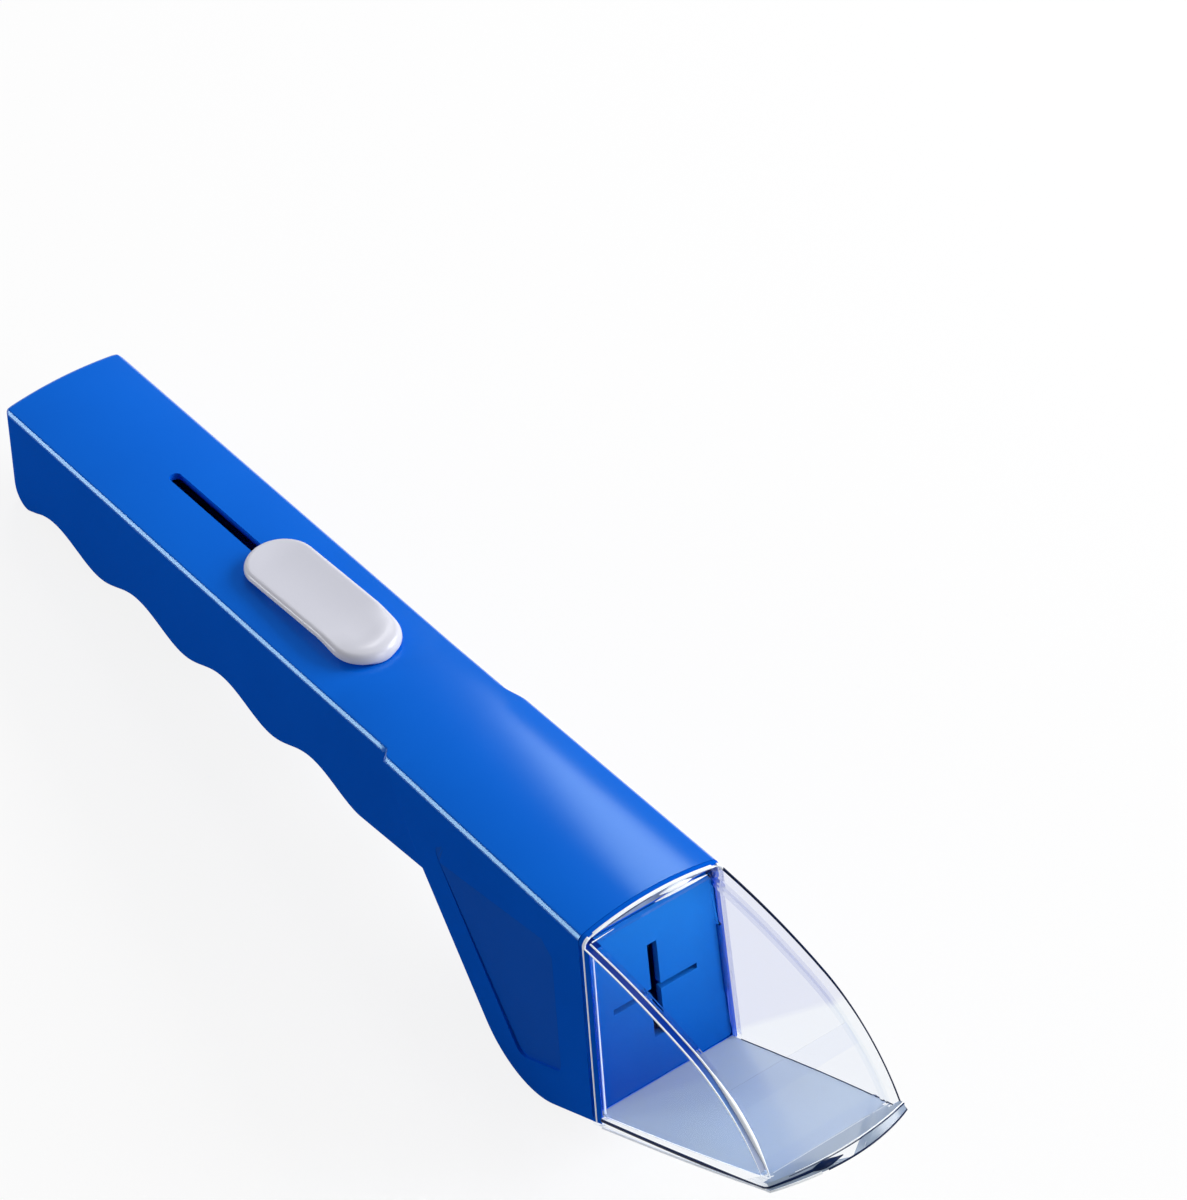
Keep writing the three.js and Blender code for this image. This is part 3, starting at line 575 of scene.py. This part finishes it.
def button_fall(x, y):
    """How far the top lies below its crest: evenly to the rear, a little sideways, steeply at the nose."""
    half = BUTTON_WIDTH / 2
    crest_x = NOSE_X - BUTTON_NOSE_LENGTH
    from_centre = math.hypot(max(0, x - NOSE_X + half), y)
    behind = max(0, crest_x - x) / (BUTTON_LENGTH - BUTTON_NOSE_LENGTH)
    ahead = max(0, min(1, (x - crest_x) / BUTTON_NOSE_LENGTH))
    past = max(0, min(1, (from_centre - BUTTON_CREST_RADIUS) / (half - BUTTON_CREST_RADIUS)))
    sideways = BUTTON_SIDE_DROP * (y / half) ** 2
    return BUTTON_REAR_DROP * behind + sideways + BUTTON_NOSE_DROP * ahead * past ** 2


def button_outline(shrink, narrowing=0):
    """The button's oval: half rounds at its ends and straight sides."""
    end = BUTTON_WIDTH / 2 - shrink
    front, rear = NOSE_X - BUTTON_WIDTH / 2, BUTTON_WIDTH / 2 - BUTTON_REAR_BACK
    points = []
    for here, there, begin in ((front, rear, -math.pi / 2), (rear, front, math.pi / 2)):
        turns = [begin + math.pi * k / 24 for k in range(25)]
        points += [(here + end * math.cos(t), (end - narrowing) * math.sin(t)) for t in turns]
        side = (end - narrowing) * math.sin(turns[-1])
        points += [(here + (there - here) * k / 16, side) for k in range(1, 16)]
    return points


def button_body():
    foot = button_outline(0, BUTTON_SIDE_UNDERCUT)
    rings = [[(x, y, crowned(x, y, HEAD_HEIGHT) + SEAT_GAP) for x, y in foot]]
    for k in range(9):
        turn = math.pi / 2 * k / 8
        drop = BUTTON_EDGE_RADIUS * (1 - math.sin(turn))
        outline = button_outline(BUTTON_EDGE_RADIUS * (1 - math.cos(turn)))
        rings.append([(x, y, BUTTON_TOP - drop - button_fall(x, y)) for x, y in outline])
    for k in range(1, 24):
        share = k / 24
        outline = button_outline(BUTTON_EDGE_RADIUS + (BUTTON_WIDTH / 2 - BUTTON_EDGE_RADIUS) * share)
        dish = THUMB_DISH_DEPTH * math.sin(math.pi / 2 * share)
        rings.append([(x, y, BUTTON_TOP - dish - button_fall(x, y)) for x, y in outline])
    return skin(rings)


# Materials

def linear(code):
    """sRGB hex to the linear colour that the shaders take."""
    parts = [int(code[i:i + 2], 16) / 255 for i in (1, 3, 5)]
    return (*[c / 12.92 if c <= 0.04045 else ((c + 0.055) / 1.055) ** 2.4 for c in parts], 1)


def add(tree, kind, inputs=(), **settings):
    """Adds a node: settings are its properties, and inputs are values or the sockets that feed it."""
    node = tree.nodes.new(kind)
    for name, value in settings.items():
        setattr(node, name, value)
    for name, value in dict(inputs).items():
        if isinstance(value, bpy.types.NodeSocket):
            tree.links.new(value, node.inputs[name])
        else:
            node.inputs[name].default_value = value
    return node


def empty_material(name):
    made = bpy.data.materials.new(name)
    made.use_nodes = True
    made.node_tree.nodes.clear()
    return made, made.node_tree


def slope_share(tree, place, across, low, high):
    """Runs from 0 to 1 as the place moves along the direction, from low to high in metres."""
    along = add(tree, "ShaderNodeVectorMath", {0: place, 1: across}, operation="DOT_PRODUCT")
    share = add(tree, "ShaderNodeMapRange", {
        "Value": along.outputs["Value"], "From Min": low, "From Max": high})
    return share.outputs["Result"]


def moulded_plastic(name, light, dark, grain_mm, grain_height, finish, painted_shade_slope=None):
    """A moulded surface with grain. Its colour drifts over 30 mm of flow, or, as painted shade, grows
    lighter up a slope.
    """
    made, tree = empty_material(name)
    place = add(tree, "ShaderNodeTexCoord").outputs["Object"]
    flow = add(tree, "ShaderNodeTexNoise", {"Vector": place, "Scale": 1 / (30 * MM), "Detail": 2})
    grain = add(tree, "ShaderNodeTexNoise", {"Vector": place, "Scale": 1 / (grain_mm * MM), "Detail": 3})
    share = slope_share(tree, place, *painted_shade_slope) if painted_shade_slope else flow.outputs["Fac"]
    colour = add(tree, "ShaderNodeMix", {"Factor": share}, data_type="RGBA")
    colour.inputs["A"].default_value = linear(dark)
    colour.inputs["B"].default_value = linear(light)
    bump = add(tree, "ShaderNodeBump", {"Height": grain.outputs["Fac"], "Distance": grain_height * MM})
    shader = add(tree, "ShaderNodeBsdfPrincipled", {
        "Base Color": colour.outputs["Result"], "IOR": 1.5, "Normal": bump.outputs["Normal"], **finish,
    })
    add(tree, "ShaderNodeOutputMaterial", {"Surface": shader.outputs["BSDF"]})
    return made


def clear_plastic(name, shadow, finish, paler_painted_reflection=None):
    """Lamps shine through it, a little dimmed. Its haze drifts a little over 12 mm of flow."""
    made, tree = empty_material(name)
    place = add(tree, "ShaderNodeTexCoord").outputs["Object"]
    haze = add(tree, "ShaderNodeTexNoise", {"Vector": place, "Scale": 1 / (12 * MM), "Detail": 3})
    rough = add(tree, "ShaderNodeMapRange", {
        "Value": haze.outputs["Fac"],
        "To Min": finish["Roughness"] * 0.85, "To Max": finish["Roughness"] * 1.15})
    shader = add(tree, "ShaderNodeBsdfPrincipled", {**finish, "Roughness": rough.outputs["Result"]})
    # When given, a paler tone up a slope: a painted reflection
    if paler_painted_reflection:
        code, *slope = paler_painted_reflection
        tone = add(tree, "ShaderNodeMix", {"Factor": slope_share(tree, place, *slope)}, data_type="RGBA")
        tone.inputs["A"].default_value = finish["Base Color"]
        tone.inputs["B"].default_value = linear(code)
        tree.links.new(tone.outputs["Result"], shader.inputs["Base Color"])
    through = add(tree, "ShaderNodeBsdfTransparent", {"Color": linear(shadow)})
    path = add(tree, "ShaderNodeLightPath")
    mixed = add(tree, "ShaderNodeMixShader", {
        0: path.outputs["Is Shadow Ray"], 1: shader.outputs[0], 2: through.outputs[0]})
    add(tree, "ShaderNodeOutputMaterial", {"Surface": mixed.outputs[0]})
    return made


# Real moulding grain is about 0.05 to 0.1 mm wide, too fine to show, so it is drawn several times coarser.
# A painted tone slope gives the direction in which a painted tone changes on the table, and where it begins
# and ends, in metres.
# Painted shade on the bulkhead
BULKHEAD_PAINTED_SHADE = ((0, 0.8, 1), 0.01, 0.058)
# Painted reflection on the clear walls
CLEAR_WALL_PAINTED_REFLECTION = ((1.395, 0, -1), 0.0914, 0.0938)

# Blue ABS from a polished mould: the tops keep a clear soft highlight
POLISHED_BLUE = moulded_plastic("polished_blue_abs", "#0670ec", "#0467e0", 0.5, 0.002, {
    "Roughness": 0.16, "Specular IOR Level": 0.5, "Specular Tint": linear("#b4eeff")})
# Blue ABS from a spark-eroded mould: the sides, grip and inside are matt and stay deep blue. Its mirror
# is taken nearly to nothing, well under ABS's own 0.5, as the photograph's sides show no gloss at all.
MATT_BLUE = moulded_plastic("matt_blue_abs", "#0665e4", "#035cd6", 0.35, 0.012, {
    "Roughness": 0.5, "Specular IOR Level": 0.002})
# The sunken panels of the head have a coarser eroded grain, which greys and darkens the same blue
PANEL_BLUE = moulded_plastic("coarse_grained_blue_abs", "#1460d4", "#0f58c6", 0.6, 0.02, {
    "Roughness": 0.6, "Specular IOR Level": 0.01})
# The same blue behind the clear scoop: hazier, with painted shade that darkens it toward its foot and its
# near side, as photographed
BULKHEAD_BLUE_PAINTED_SHADE = moulded_plastic("hazy_blue_abs_painted_shade", "#1e72c8", "#0046a0", 0.35, 0.006, {
    "Roughness": 0.5, "Specular IOR Level": 0.02}, BULKHEAD_PAINTED_SHADE)
# White ABS, satin: a pale lavender white with a soft broad highlight
SATIN_WHITE = moulded_plastic("satin_white_abs", "#e2e3ee", "#dadbe8", 0.4, 0.004, {
    "Roughness": 0.25, "Specular IOR Level": 0.5})
# Natural POM: the hidden carriage is milky white and slippery
MILKY_WHITE = moulded_plastic("milky_white_pom", "#dcdcd8", "#d2d2cd", 0.4, 0.004, {
    "Roughness": 0.4, "Specular IOR Level": 0.3})
# Clear polystyrene, thin walls: seen straight through, with a trace of lavender and hardly a mirror. Its IOR
# is matched to the photograph, far under polystyrene's 1.59. Its lower front part is paler, as seen there:
# that paler tone is a painted reflection.
CLEAR_WALL = clear_plastic("clear_polystyrene_wall", "#f6f7fb", {
    "Base Color": linear("#eceef7"), "Roughness": 0.02, "IOR": 1.035, "Transmission Weight": 1},
    ("#f8fafc", *CLEAR_WALL_PAINTED_REFLECTION))
# Clear polystyrene with a satin face inside the scoop: grey blue, in part a painted reflection of its
# surroundings, and it mirrors the bulkhead softly
SATIN_FLOOR = clear_plastic("satin_polystyrene_floor", "#e4e9f4", {
    "Base Color": linear("#98a9be"), "Roughness": 0.25, "IOR": 1.49, "Specular IOR Level": 0.8,
    "Transmission Weight": 0.3})
# Clear PET film: nearly invisible, so its IOR is far under PET's 1.57
CLEAR_FILM = clear_plastic("clear_pet_film", "#fbfcff", {
    "Base Color": linear("#fafbfe"), "Roughness": 0.03, "IOR": 1.01, "Transmission Weight": 1})
# The rounded edge of a clear moulding gathers light and shows as a fine white line: here a painted
# highlight, drawn white, which glows a little
PAINTED_HIGHLIGHT_EDGE = moulded_plastic("painted_highlight_polystyrene_edge", "#ffffff", "#f6faff", 0.6, 0.001, {
    "Roughness": 0.1, "Specular IOR Level": 0.5,
    "Emission Color": linear("#dcecff"), "Emission Strength": 0.15})
# Beside it the moulding bends the blue behind it into a fine dark line: here painted shade, drawn as a dark
# line
PAINTED_SHADE_EDGE = moulded_plastic("painted_shade_polystyrene_edge", "#142850", "#0d1c40", 0.6, 0.001, {
    "Roughness": 0.15, "Specular IOR Level": 0.1})


def painted_blue_edge():
    """The near wall's thick top edge, a painted reflection: the head's blue, carried along inside it, pales
    to grey at the lip.
    """
    made, tree = empty_material("blue_polystyrene_edge_painted_reflection")
    place = add(tree, "ShaderNodeTexCoord").outputs["Object"]
    along = add(tree, "ShaderNodeSeparateXYZ", {"Vector": place}).outputs["X"]
    share = add(tree, "ShaderNodeMapRange", {
        "Value": along, "From Min": RIM_AT[0], "From Max": RIM_AT[0] + RAIL_END.x * MM})
    ramp = add(tree, "ShaderNodeValToRGB", {"Fac": share.outputs["Result"]})
    stops = ((0, "#0a3193"), (0.45, "#0b3aa6"), (0.68, "#5f86c4"), (0.82, "#a4b3d6"), (1, "#c3cbde"))
    while len(ramp.color_ramp.elements) < len(stops):
        ramp.color_ramp.elements.new(0.5)
    for element, (position, code) in zip(ramp.color_ramp.elements, stops):
        element.position, element.color = position, linear(code)
    grain = add(tree, "ShaderNodeTexNoise", {"Vector": place, "Scale": 1 / (0.6 * MM), "Detail": 3})
    bump = add(tree, "ShaderNodeBump", {"Height": grain.outputs["Fac"], "Distance": 0.001 * MM})
    shader = add(tree, "ShaderNodeBsdfPrincipled", {
        "Base Color": ramp.outputs["Color"], "Roughness": 0.15, "IOR": 1.59, "Specular IOR Level": 0.04,
        "Normal": bump.outputs["Normal"]})
    add(tree, "ShaderNodeOutputMaterial", {"Surface": shader.outputs["BSDF"]})
    return made


PAINTED_BLUE_EDGE = painted_blue_edge()

# Nodes that are shown by their own solids
for name, finish in (("shutter_lead_edge", CLEAR_FILM), ("slider_carriage", MILKY_WHITE)):
    node = frame["nodes"][name]
    node.data.materials.clear()
    node.data.materials.append(finish)

# Shell of the handle and head

shell = new_piece("housing_shell", handle_body(0), POLISHED_BLUE, MATT_BLUE, PANEL_BLUE)
combine(shell, "UNION", head_body(0, OVERRUN))
combine(shell, "DIFFERENCE", block(
    0, 2 * OVERRUN, -HEAD_WIDTH, HEAD_WIDTH, -HEAD_HEIGHT, 2 * HEAD_HEIGHT))
cavity = new_piece("cavity", handle_body(WALL), MATT_BLUE)
combine(cavity, "UNION", head_body(WALL, WALL + OVERRUN))
hollow = bmesh.new()
hollow.from_mesh(cavity.data)
bpy.data.objects.remove(cavity)
combine(shell, "DIFFERENCE", hollow)
slot_half = SLOT_WIDTH / 2
slot_front = STEM_X + STEM_LENGTH / 2 + SEAT_GAP
slot_outline = rectangle(-SLOT_REAR_BACK, slot_front, -slot_half, slot_half, SLOT_END_RADIUS)
slot_levels = (HEAD_HEIGHT - WALL - OVERRUN, HEAD_HEIGHT + 2 * OVERRUN)
combine(shell, "DIFFERENCE", skin([[(p.x, p.y, z) for p in slot_outline] for z in slot_levels]))
combine(shell, "UNION", mouth_rib())
combine(shell, "UNION", mouth_lintel())
for side in (-1, 1):
    combine(shell, "DIFFERENCE", side_panel(side))


def shell_finish(normal, place):
    """Polished on top, matt on the sides, and a coarser grain on the sunken panels of the head."""
    polished, matt, panel = range(3)
    if normal.z > 0.3 and place.z > HEAD_HEIGHT - EDGE_RADIUS:
        return polished
    sunk = head_half_at(place.x, place.z) - abs(place.y)
    at_depth = 0.02 < sunk < PANEL_DEPTH + 0.1 and abs(normal.y) > 0.9
    in_length = -HEAD_LENGTH < place.x < -PANEL_INSET / 2
    in_height = EDGE_RADIUS < place.z < HEAD_HEIGHT - EDGE_RADIUS
    return panel if at_depth and in_length and in_height else matt


finish_faces(shell, 35, shell_finish)
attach(shell, "housing")
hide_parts("housing_left", "housing_right")

# Bulkhead

bulkhead = new_piece("vented_bulkhead", bulkhead_plate(), BULKHEAD_BLUE_PAINTED_SHADE)
for width, height in (VENT_BAR, VENT_CROSS):
    combine(bulkhead, "DIFFERENCE", block(
        -OVERRUN, OVERRUN, -width / 2, width / 2, VENT_HEIGHT - height / 2, VENT_HEIGHT + height / 2))
finish_faces(bulkhead, 30)
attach(bulkhead, "housing")
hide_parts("bulkhead")

# Button

button = new_piece("thumb_button", button_body(), SATIN_WHITE)
finish_faces(button, 40)
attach(button, "slider")
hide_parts("slider_button")

# Scoop

rim = forward([(p.x, p.y) for p in rim_outline()], RIM_X, RIM_FRONT)
scoop = new_piece("scoop", rim, CLEAR_WALL, SATIN_FLOOR, PAINTED_BLUE_EDGE, MATT_BLUE)
combine(scoop, "DIFFERENCE", forward([(p.x, p.y) for p in rim_opening()], RIM_X - 1, RIM_FRONT + 1))
combine(scoop, "UNION", skin([floor_ring(*FLOOR_FOOT), floor_ring(*FLOOR_TOP)]))
for side in (-1, 1):
    combine(scoop, "UNION", side_wall(side))
    rail_y = sorted((side * RAIL_HALF, side * (RAIL_HALF + RAIL_REACH - CHAMBER_WALL / 2)))
    combine(scoop, "UNION", across(rail_band(0, RAIL_FLANGE), *rail_y))
    combine(scoop, "UNION", across(rail_band(LEDGE_INSET, LEDGE_INSET + RAIL_LEDGE), *rail_y))
    combine(scoop, "UNION", snap_tab(side))
groove_half = FILM_HALF + SEAT_GAP
groove = rail_curve(LEDGE_INSET, rear_lead=1) + rail_curve(RAIL_FLANGE, rear_lead=1)[::-1]
combine(scoop, "DIFFERENCE", across(groove, -groove_half, groove_half))


def scoop_finish(normal, place):
    """Satin on the floor, lip and rim's bar, and on thick edges the blue that shows in them, painted on as a
    reflection.
    """
    wall, satin, painted_blue_top, painted_blue_rim = range(4)
    floor_up = Vector((-FLOOR_SLOPE, 0, 1)).normalized()
    over_floor = place.z - place.x * FLOOR_SLOPE
    at_floor_top = abs(over_floor - FLOOR_RISE) < 1.5
    if normal.dot(floor_up) > 0.95 and at_floor_top:
        return satin
    if place.x > RAIL_END.x and over_floor < FLOOR_RISE and normal.x > 0.3:
        return satin
    if normal.x > 0.9 and place.x < RIM_FRONT + SEAT_GAP and place.z > RAIL_TOP - RAIL_FLANGE:
        return satin
    if RIM_X < place.x < RIM_FRONT and abs(normal.x) < 0.5 and place.z + abs(place.y) > HEAD_WIDTH:
        # The rim's outer faces take opaque matt blue: a painted reflection of the head's blue
        outer = place.z > RAIL_TOP or place.y < RIM_WIDTH / 2 - HEAD_WIDTH / 2
        return painted_blue_rim if outer else wall
    near_wall_inside = 1.8 - HEAD_WIDTH / 2
    on_near_wall = RIM_FRONT < place.x and place.y < near_wall_inside
    return painted_blue_top if on_near_wall and normal.z > 0.3 and over_floor > 2 * FLOOR_RISE else wall


finish_faces(scoop, 30, scoop_finish)
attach(scoop, "housing")
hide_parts("capture_chamber")


# Edges of the scoop, as fine lines of light and shade, laid where the photograph shows them

def in_upper_half(p):
    return p.y > HEAD_HEIGHT / 2


def in_near_lower_quarter(p):
    return p.y < HEAD_HEIGHT / 2 and p.x < 0


def on_rim(depth, wanted):
    """The wanted part of the rim's outline, moved in by the depth, just behind the rim's front."""
    return [(RIM_FRONT - 0.1, drafted(p.x, p.y), p.y) for p in rim_outline(depth) if wanted(p)]


def on_bar(y, share):
    """A point on the rim's top bar: share runs from the opening's top edge to the crown."""
    low = RAIL_TOP - RAIL_FLANGE
    return (RIM_FRONT, y, low + (crowned(0, y, HEAD_HEIGHT) - low) * share)


def wall_top(side, depth):
    points = [Vector((RIM_FRONT, RAIL_TOP)), *[p for p in RAIL_POINTS if p.x > RIM_FRONT]]
    return [(p.x, side * (chamber_half_at(p.x, p.y) - depth), p.y) for p in points]


def wall_foot(side, depth, rise):
    points = [on_floor(p.x, side, rise) for p in RAIL_POINTS if p.x > RIM_FRONT]
    return [p - Vector((0, side * depth, 0)) for p in points]


def spread(low, high, count=12):
    return [low + (high - low) * k / count for k in range(count + 1)]


rim_inner_y = RIM_WIDTH - HEAD_WIDTH / 2
rim_inner = [(RIM_FRONT, drafted(rim_inner_y, z), z) for z in spread(RAIL_TOP - 4, FLOOR_RISE)]
lip_low, lip_high = lip_line(*FLOOR_FOOT), lip_line(*FLOOR_TOP)
lip_mid = [(low + high) / 2 for low, high in zip(lip_low, lip_high)]
# The shade in the near wall's foot sinks toward the lip
near_shade = [on_floor(p.x, -1, 2 - 1.6 * p.x / RAIL_END.x) for p in RAIL_POINTS if p.x > RIM_FRONT]
# Painted highlights: white lines laid on the scoop's edges and on the rim's bar
painted_highlight_lines = [
    (on_rim(0.25, in_upper_half) + on_rim(0.25, in_near_lower_quarter), (0.8, 0.7)),
    (wall_foot(-1, 0, 0) + lip_low[:8], (0.45, 0.45, 0.4, 0.5)),
    (rim_inner, (0.25, 0.45)),
    (wall_top(-1, 0.1), (0.35, 0.4, 0.3, 0.05)),
    (wall_top(-1, CHAMBER_WALL), (0.4, 0.35, 0.5, 1.2, 1.1, 0.15)),
    (wall_foot(-1, CHAMBER_WALL, FLOOR_RISE), (0.3, 0.2, 0.05)),
    (lip_high[4:], (0.1, 0.25, 0.2)),
    ([on_bar(y, 0.42) for y in spread(12.5, 0.5)], (0.1, 0.6, 0.7, 0.6, 0.1)),
    ([on_bar(y, 0.68) for y in spread(9, 1.5)], (0.1, 1.1, 1.2, 0.8, 0.1)),
    ([on_bar(y, 0.3) for y in spread(-9, -14)], (0.1, 0.2, 0.3)),
]
# Painted shade: dark lines laid along the scoop's edges and in the near wall's foot
dark = [
    (wall_top(1, 0) + lip_low[:7:-1], (0.6, 0.45, 0.3, 0.3, 0.35, 0.4)),
    (wall_foot(1, CHAMBER_WALL, FLOOR_RISE), (0.25, 0.25)),
    (near_shade + lip_mid[:8], (0.6, 0.7, 0.45, 0.3, 0.6)),
    (lip_mid[6:12], (0.4, 1.5, 1.7, 0.8, 0.2)),
    ([p + Vector((0.25, 0, -0.15)) for p in lip_high[3:]], (0.15, 0.25, 0.25)),
    ([on_bar(y, 0.83) for y in spread(0, -14.5)], (0.15, 0.4, 0.3)),
    (on_rim(0.65, in_near_lower_quarter), (0.3, 0.3)),
]
for name, material, lines in (
    ("scoop_painted_highlight_lines", PAINTED_HIGHLIGHT_EDGE, painted_highlight_lines), ("scoop_painted_shade_lines", PAINTED_SHADE_EDGE, dark),
):
    edges = edge_lines(name, material, lines)
    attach(edges, "housing")

# Shutter film

# Its rear part flattens into the head as it slides back, and its front part straightens behind the leading
# edge. They lap, each at half thickness, because an arc grows shorter where it is only pressed flat. The lap
# begins and ends at points counted along the rails' curve. Behind the rim the film narrows to its tail.
LAP_BEGINS = 22
LAP_ENDS = 28
HALF_LAP_GAP = 0.01
FULL_WIDTH_BACK = 1
NARROWING_LENGTH = 0.02
FILM_MID_INSET = (FILM_TOP_INSET + FILM_BOTTOM_INSET) / 2
film_top, film_low, over_lap, under_lap = (
    rail_curve(depth, SHUTTER_END_ANGLE, FULL_WIDTH_BACK) for depth in (
        FILM_TOP_INSET, FILM_BOTTOM_INSET, FILM_MID_INSET - HALF_LAP_GAP, FILM_MID_INSET + HALF_LAP_GAP)
)
film_rear = STEM_X - CARRIAGE_LENGTH / 2 + CARRIAGE_CORNER
film_tail = [
    (Vector((x, RAIL_TOP - FILM_TOP_INSET)), Vector((x, RAIL_TOP - FILM_BOTTOM_INSET)))
    for x in (film_rear, -FULL_WIDTH_BACK - NARROWING_LENGTH)
]
rear_part = film_tail + list(zip(film_top, film_low))[:LAP_BEGINS]
rear_part += list(zip(film_top, over_lap))[LAP_BEGINS:LAP_ENDS]
front_part = list(zip(under_lap, film_low))[LAP_BEGINS:LAP_ENDS]
front_part += list(zip(film_top, film_low))[LAP_ENDS:]
tip_line = (film_top[-1] - film_top[-2]).normalized()
for name, part, body, joint, axis, anchor in (
    ("shutter_sheet", rear_part, "slider", "shutter_slide", Vector((0, 0, 1)), film_top[0]),
    ("shutter_sheet_front", front_part, "shutter_front", "shutter_curl",
     Vector((-tip_line.y, 0, tip_line.x)), film_top[-1]),
):
    halves = [TAIL_FILM_WIDTH / 2 if top.x < -FULL_WIDTH_BACK else FILM_HALF for top, _ in part]
    film = new_piece(name, skin([
        [(low.x, -half, low.y), (low.x, half, low.y), (top.x, half, top.y), (top.x, -half, top.y)]
        for (top, low), half in zip(part, halves)
    ]), CLEAR_FILM)
    finish_faces(film, 30)
    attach(film, body)
    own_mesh(film)
    if body == "slider":
        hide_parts("shutter_film")

# Camera: the photograph's viewing direction, through a long lens

CAMERA_AT = (0.60514157, -0.429723, 0.92088651)
CAMERA_RIGHT = Vector((0.59511145, 0.80342464, 0.01874056))
CAMERA_FORWARD = Vector((-0.52260125, 0.40460539, -0.7504548))
camera = bpy.data.objects.new("camera", bpy.data.cameras.new("camera"))
bpy.context.scene.collection.objects.link(camera)
turned = Matrix((CAMERA_RIGHT, CAMERA_RIGHT.cross(CAMERA_FORWARD), -CAMERA_FORWARD)).transposed()
camera.matrix_world = Matrix.Translation(CAMERA_AT) @ turned.to_4x4()
camera.data.sensor_fit = "VERTICAL"
camera.data.sensor_height = 36
camera.data.lens = 180
camera.data.clip_end = 30
bpy.context.scene.camera = camera


# Studio: a pale sweep that is white to the eye, soft lamps, and a dim world

def studio_sweep():
    """A round floor, sized in metres, that turns up into a low wall far outside the lamps."""
    middle, flat, bend, wall_height, count = 0.5, 4.5, 0.5, 1.4, 64
    profile = [(middle, 0), (flat, 0)]
    for k in range(1, 7):
        turn = math.pi / 2 * k / 6
        profile.append((flat + bend * math.sin(turn), bend - bend * math.cos(turn)))
    profile.append((flat + bend, wall_height))
    build = bmesh.new()
    rows = []
    turns = [2 * math.pi * k / count for k in range(count)]
    for radius, height in profile:
        rows.append([build.verts.new((radius * math.cos(t), radius * math.sin(t), height)) for t in turns])
    build.faces.new(rows[0])
    for low, high in zip(rows, rows[1:]):
        for i in range(count):
            build.faces.new((low[i], low[(i + 1) % count], high[(i + 1) % count], high[i])).smooth = True
    return build


def sweep_paper():
    """Matt paper: white to the eye, in gloss and through clear plastic, and a mid grey to the lamps."""
    made, tree = empty_material("studio_paper")
    glow_share = 0.87
    path = add(tree, "ShaderNodeLightPath")
    straight = add(tree, "ShaderNodeMath", {
        0: path.outputs["Is Camera Ray"], 1: path.outputs["Is Transmission Ray"]}, operation="MAXIMUM")
    seen = add(tree, "ShaderNodeMath", {
        0: straight.outputs[0], 1: path.outputs["Is Glossy Ray"]}, operation="MAXIMUM")
    share = add(tree, "ShaderNodeMath", {0: seen.outputs[0], 1: glow_share}, operation="MULTIPLY")
    tone = add(tree, "ShaderNodeMix", {"Factor": seen.outputs[0]}, data_type="RGBA")
    tone.inputs["A"].default_value = linear("#a3a3a6")
    tone.inputs["B"].default_value = linear("#f8f8f9")
    paper = add(tree, "ShaderNodeBsdfDiffuse", {"Color": tone.outputs["Result"]})
    glow = add(tree, "ShaderNodeEmission", {"Color": linear("#ffffff"), "Strength": 1})
    mixed = add(tree, "ShaderNodeMixShader", {0: share.outputs[0], 1: paper.outputs[0], 2: glow.outputs[0]})
    add(tree, "ShaderNodeOutputMaterial", {"Surface": mixed.outputs[0]})
    return made


new_piece("floor", studio_sweep(), sweep_paper())


def softbox(name, at, size, brightness, along=(1, 0, 0), toward=(0, 0, 0.04)):
    """A lamp facing the object, its first side along the line. A mirror shows it so many times white."""
    light = bpy.data.lights.new(name, "AREA")
    light.shape = "RECTANGLE"
    light.size, light.size_y = size
    light.energy = brightness * math.pi * size[0] * size[1]
    holder = bpy.data.objects.new(name, light)
    bpy.context.scene.collection.objects.link(holder)
    back = (Vector(at) - Vector(toward)).normalized()
    first = (Vector(along) - back * back.dot(Vector(along))).normalized()
    turned = Matrix((first, back.cross(first), back)).transposed()
    holder.matrix_world = Matrix.Translation(at) @ turned.to_4x4()


softbox("far_key", (0.4, 1.15, 0.85), (1.0, 0.8), 7.8)
softbox("overhead", (0.1, 0.1, 1.5), (1.0, 1.0), 0.6)
softbox("near_strip", (-0.79, -0.79, 0.175), (0.55, 0.2), 10.5, (0.93, -0.37, -0.06))
softbox("glare", (-0.397, 0.332, 0.423), (0.12, 0.25), 4.2, (0.963, 0.26, 0.076))
softbox("button_glint", (-0.63, 0.36, 1.03), (0.22, 0.22), 9)
softbox("front", (1.1, 0.3, 0.7), (0.5, 0.5), 4.3)

world = bpy.data.worlds.new("studio")
bpy.context.scene.world = world
world.use_nodes = True
world.node_tree.nodes["Background"].inputs["Color"].default_value = linear("#ffffff")
world.node_tree.nodes["Background"].inputs["Strength"].default_value = 0.12

# Light bounces often enough to pass all the clear layers of the scoop
bpy.context.scene.cycles.max_bounces = 24
bpy.context.scene.cycles.glossy_bounces = 16
bpy.context.scene.cycles.transmission_bounces = 24
bpy.context.scene.cycles.transparent_max_bounces = 32
bpy.context.scene.view_settings.view_transform = "Standard"
